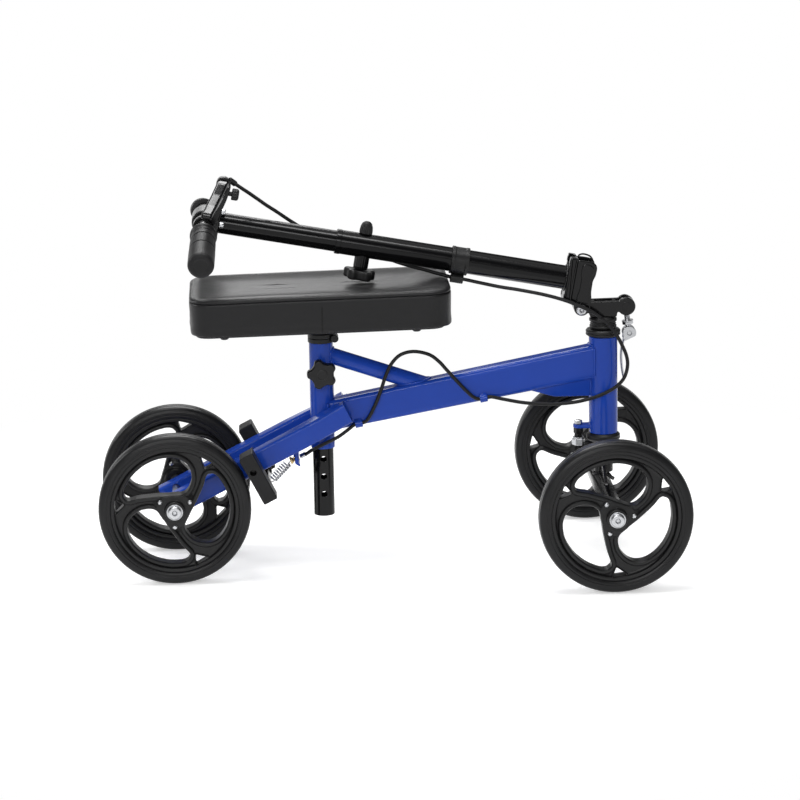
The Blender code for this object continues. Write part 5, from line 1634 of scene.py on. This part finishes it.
def make_floor(settings):
    """A floor disc that runs out past the view."""
    steps = 96
    radii = np.array((40.0, 0.01))
    flat = np.concatenate([radii[:, None, None] * circle(1, steps)[None], np.zeros((2, steps, 1))], -1)
    mesh = bpy.data.meshes.new("floor")
    outer, inner = np.arange(2 * steps).reshape(2, steps)
    quads = np.stack([outer, np.roll(outer, -1), np.roll(inner, -1), inner], -1)
    mesh.from_pydata(flat.reshape(-1, 3).tolist(), [], quads.tolist() + [inner.tolist()])
    mesh.materials.append(floor_material(settings))
    floor = bpy.data.objects.new("floor", mesh)
    floor.location = (0, 0, -0.0004)
    bpy.context.scene.collection.objects.link(floor)


# Settings


def colour(name, description, default):
    """A colour setting."""
    return FloatVectorProperty(
        name=name, description=description, subtype="COLOR", size=3, default=default, min=0, max=1,
    )


def number(name, description, default, low, high, unit="NONE"):
    """A setting with its unit and limits."""
    return FloatProperty(
        name=name, description=description, default=default, min=low, max=high, unit=unit, precision=4,
    )


class WalkerColours(bpy.types.PropertyGroup):
    frame_blue: colour("Frame blue", "Colour of the frame's gloss paint", (0.014, 0.06, 0.41))
    black_gloss: colour("Black gloss", "Colour of the column's gloss paint", (0.004, 0.004, 0.0045))
    plastic: colour("Black plastic", "Colour of moulded plastic", (0.008, 0.008, 0.0085))
    vinyl: colour("Pad vinyl", "Colour of the knee pad", (0.008, 0.008, 0.0085))


class WalkerSizes(bpy.types.PropertyGroup):
    pad_length: number("Pad length", "Length of the pad over its sides", 0.3435, 0.2, 0.4, "LENGTH")
    pad_width: number("Pad width", "Width of the pad over its sides", 0.179, 0.1, 0.21, "LENGTH")
    pad_swell: number("Pad swell", "How far the pad's cover swells at most", 0.001, 0, 0.01, "LENGTH")
    cable_radius: number("Cable radius", "Outer radius of the brake cable", 0.0024, 0.001, 0.005, "LENGTH")


class WalkerStage(bpy.types.PropertyGroup):
    room_light: number("Room light", "Strength of the even light from all round", 0.4, 0, 2)
    dim_band: number("Dim band", "Strength of the band above the horizon in mirror views", 0.08, 0, 1)
    lamp_power: number("Lamp power", "Power that each lamp has a share of", 45.0, 0, 500, "POWER")
    floor_white: number("Floor white", "How white the far floor shows", 1.0, 0, 1)
    floor_glow: number("Floor glow", "Glow that lifts the lit floor to white", 0.45, 0, 1)


class WALKER_OT_frame(bpy.types.Operator):
    """Makes the blue frame: head tube, beam, seat tube, strut and rails"""

    bl_idname = "walker.frame"
    bl_label = "Frame"

    def execute(self, context):
        for name, shells_of in (
            ("head_tube", head_tube_shells),
            ("main_beam", beam_shells),
            ("seat_tube", seat_tube_shells),
            ("seat_strut", strut_shells),
        ):
            piece(name + "_steel", shells_of(), "blue_paint", "frame", [name])
        make_rails()
        return {"FINISHED"}


class WALKER_OT_bearings(bpy.types.Operator):
    """Makes the bearing cups, seat collar, stop bolt, rear axle and brake pivot"""

    bl_idname = "walker.bearings"
    bl_label = "Bearings and bolts"

    def execute(self, context):
        for name, section in (("upper_bearing_cup", UPPER_CUP), ("lower_bearing_cup", LOWER_CUP)):
            ring = turned(section, 0.5, (STEER_X, 0, 0), Z, 72, True)
            piece(name + "_ring", [ring], "black_plastic", "frame", [name])
        piece("seat_collar_ring", collar_shells(), "black_plastic", "frame", ["seat_collar"])
        piece("steering_stop_screw", stop_bolt_shells(), "bright_steel", "frame", ["steering_stop_bolt"])
        piece("steering_stop_nut", stop_nut_shells(), "black_paint", "frame")
        make_rear_metal()
        return {"FINISHED"}


class WALKER_OT_wheels(bpy.types.Operator):
    """Makes the four swirl wheels and their solid tyres"""

    bl_idname = "walker.wheels"
    bl_label = "Wheels"

    def execute(self, context):
        make_wheels()
        return {"FINISHED"}


class WALKER_OT_brake(bpy.types.Operator):
    """Makes the rear brake: shoes, their bar, the return spring and the adjuster"""

    bl_idname = "walker.brake"
    bl_label = "Rear brake"

    def execute(self, context):
        make_brake()
        make_spring()
        return {"FINISHED"}


class WALKER_OT_steering(bpy.types.Operator):
    """Makes the steerer, front axle, spacer rings, fold bracket, swing bolt and cam lever"""

    bl_idname = "walker.steering"
    bl_label = "Steering and fold"

    def execute(self, context):
        make_steering()
        make_fold_bracket()
        make_swing_bolt()
        return {"FINISHED"}


class WALKER_OT_column(bpy.types.Operator):
    """Makes the column: foot, outer tube, clip, cap nut and height knob"""

    bl_idname = "walker.column"
    bl_label = "Column"

    def execute(self, context):
        make_column()
        return {"FINISHED"}


class WALKER_OT_handlebar(bpy.types.Operator):
    """Makes the handlebar: inner tube, clamp, bar, grips, brake lever and lock button"""

    bl_idname = "walker.handlebar"
    bl_label = "Handlebar"

    def execute(self, context):
        make_handlebar()
        make_brake_controls()
        return {"FINISHED"}


class WALKER_OT_seat(bpy.types.Operator):
    """Makes the seat: post, plate, board, knee pad and knob"""

    bl_idname = "walker.seat"
    bl_label = "Seat"

    def execute(self, context):
        make_seat_metal()
        make_pad()
        make_knob("seat_knob", (SEAT_TUBE_X, -24.4, SEAT_KNOB_Z), Y, 10.0, 14.0, 20.0, -0.305)
        return {"FINISHED"}


class WALKER_OT_cables(bpy.types.Operator):
    """Makes the brake cable in its four runs"""

    bl_idname = "walker.cables"
    bl_label = "Cables"

    def execute(self, context):
        make_cables()
        return {"FINISHED"}


class WALKER_OT_plain_nodes(bpy.types.Operator):
    """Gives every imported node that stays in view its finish"""

    bl_idname = "walker.plain_nodes"
    bl_label = "Finishes of packed nodes"

    def execute(self, context):
        look = finishes()
        slots = {part["node"]: part["material_slot"] for part in frame["record"]["subparts"]}
        for name, node in frame["nodes"].items():
            node.data.materials.clear()
            node.data.materials.append(look[slots[name]])
        return {"FINISHED"}


class WALKER_OT_stage(bpy.types.Operator):
    """Makes the floor, lights, world and camera"""

    bl_idname = "walker.stage"
    bl_label = "Stage"

    def execute(self, context):
        settings = context.scene.walker_stage
        make_camera()
        make_floor(settings)
        make_world(settings)
        for name, at, toward, size, share in LAMPS:
            area_light(name, at, toward, size, settings.lamp_power * share)
        context.scene.view_settings.view_transform = "Standard"
        return {"FINISHED"}


class WALKER_PT_panel(bpy.types.Panel):
    bl_label = "Knee walker"
    bl_idname = "WALKER_PT_panel"
    bl_space_type = "VIEW_3D"
    bl_region_type = "UI"
    bl_category = "Walker"

    def draw(self, context):
        for operator in OPERATORS:
            self.layout.operator(operator.bl_idname)
        for group, kind in GROUPS:
            for name in kind.__annotations__:
                self.layout.prop(getattr(context.scene, group), name)


OPERATORS = (
    WALKER_OT_frame,
    WALKER_OT_bearings,
    WALKER_OT_wheels,
    WALKER_OT_brake,
    WALKER_OT_steering,
    WALKER_OT_column,
    WALKER_OT_handlebar,
    WALKER_OT_seat,
    WALKER_OT_cables,
    WALKER_OT_plain_nodes,
    WALKER_OT_stage,
)
GROUPS = (("walker_colours", WalkerColours), ("walker_sizes", WalkerSizes), ("walker_stage", WalkerStage))
CLASSES = (*(kind for _, kind in GROUPS), *OPERATORS, WALKER_PT_panel)


def register():
    for kind in CLASSES:
        bpy.utils.register_class(kind)
    for group, kind in GROUPS:
        setattr(bpy.types.Scene, group, PointerProperty(type=kind))


def unregister():
    for group, _ in GROUPS:
        delattr(bpy.types.Scene, group)
    for kind in reversed(CLASSES):
        bpy.utils.unregister_class(kind)


def main():
    register()
    for operator in OPERATORS:
        group, name = operator.bl_idname.split(".")
        getattr(getattr(bpy.ops, group), name)()


if __name__ == "__main__":
    main()
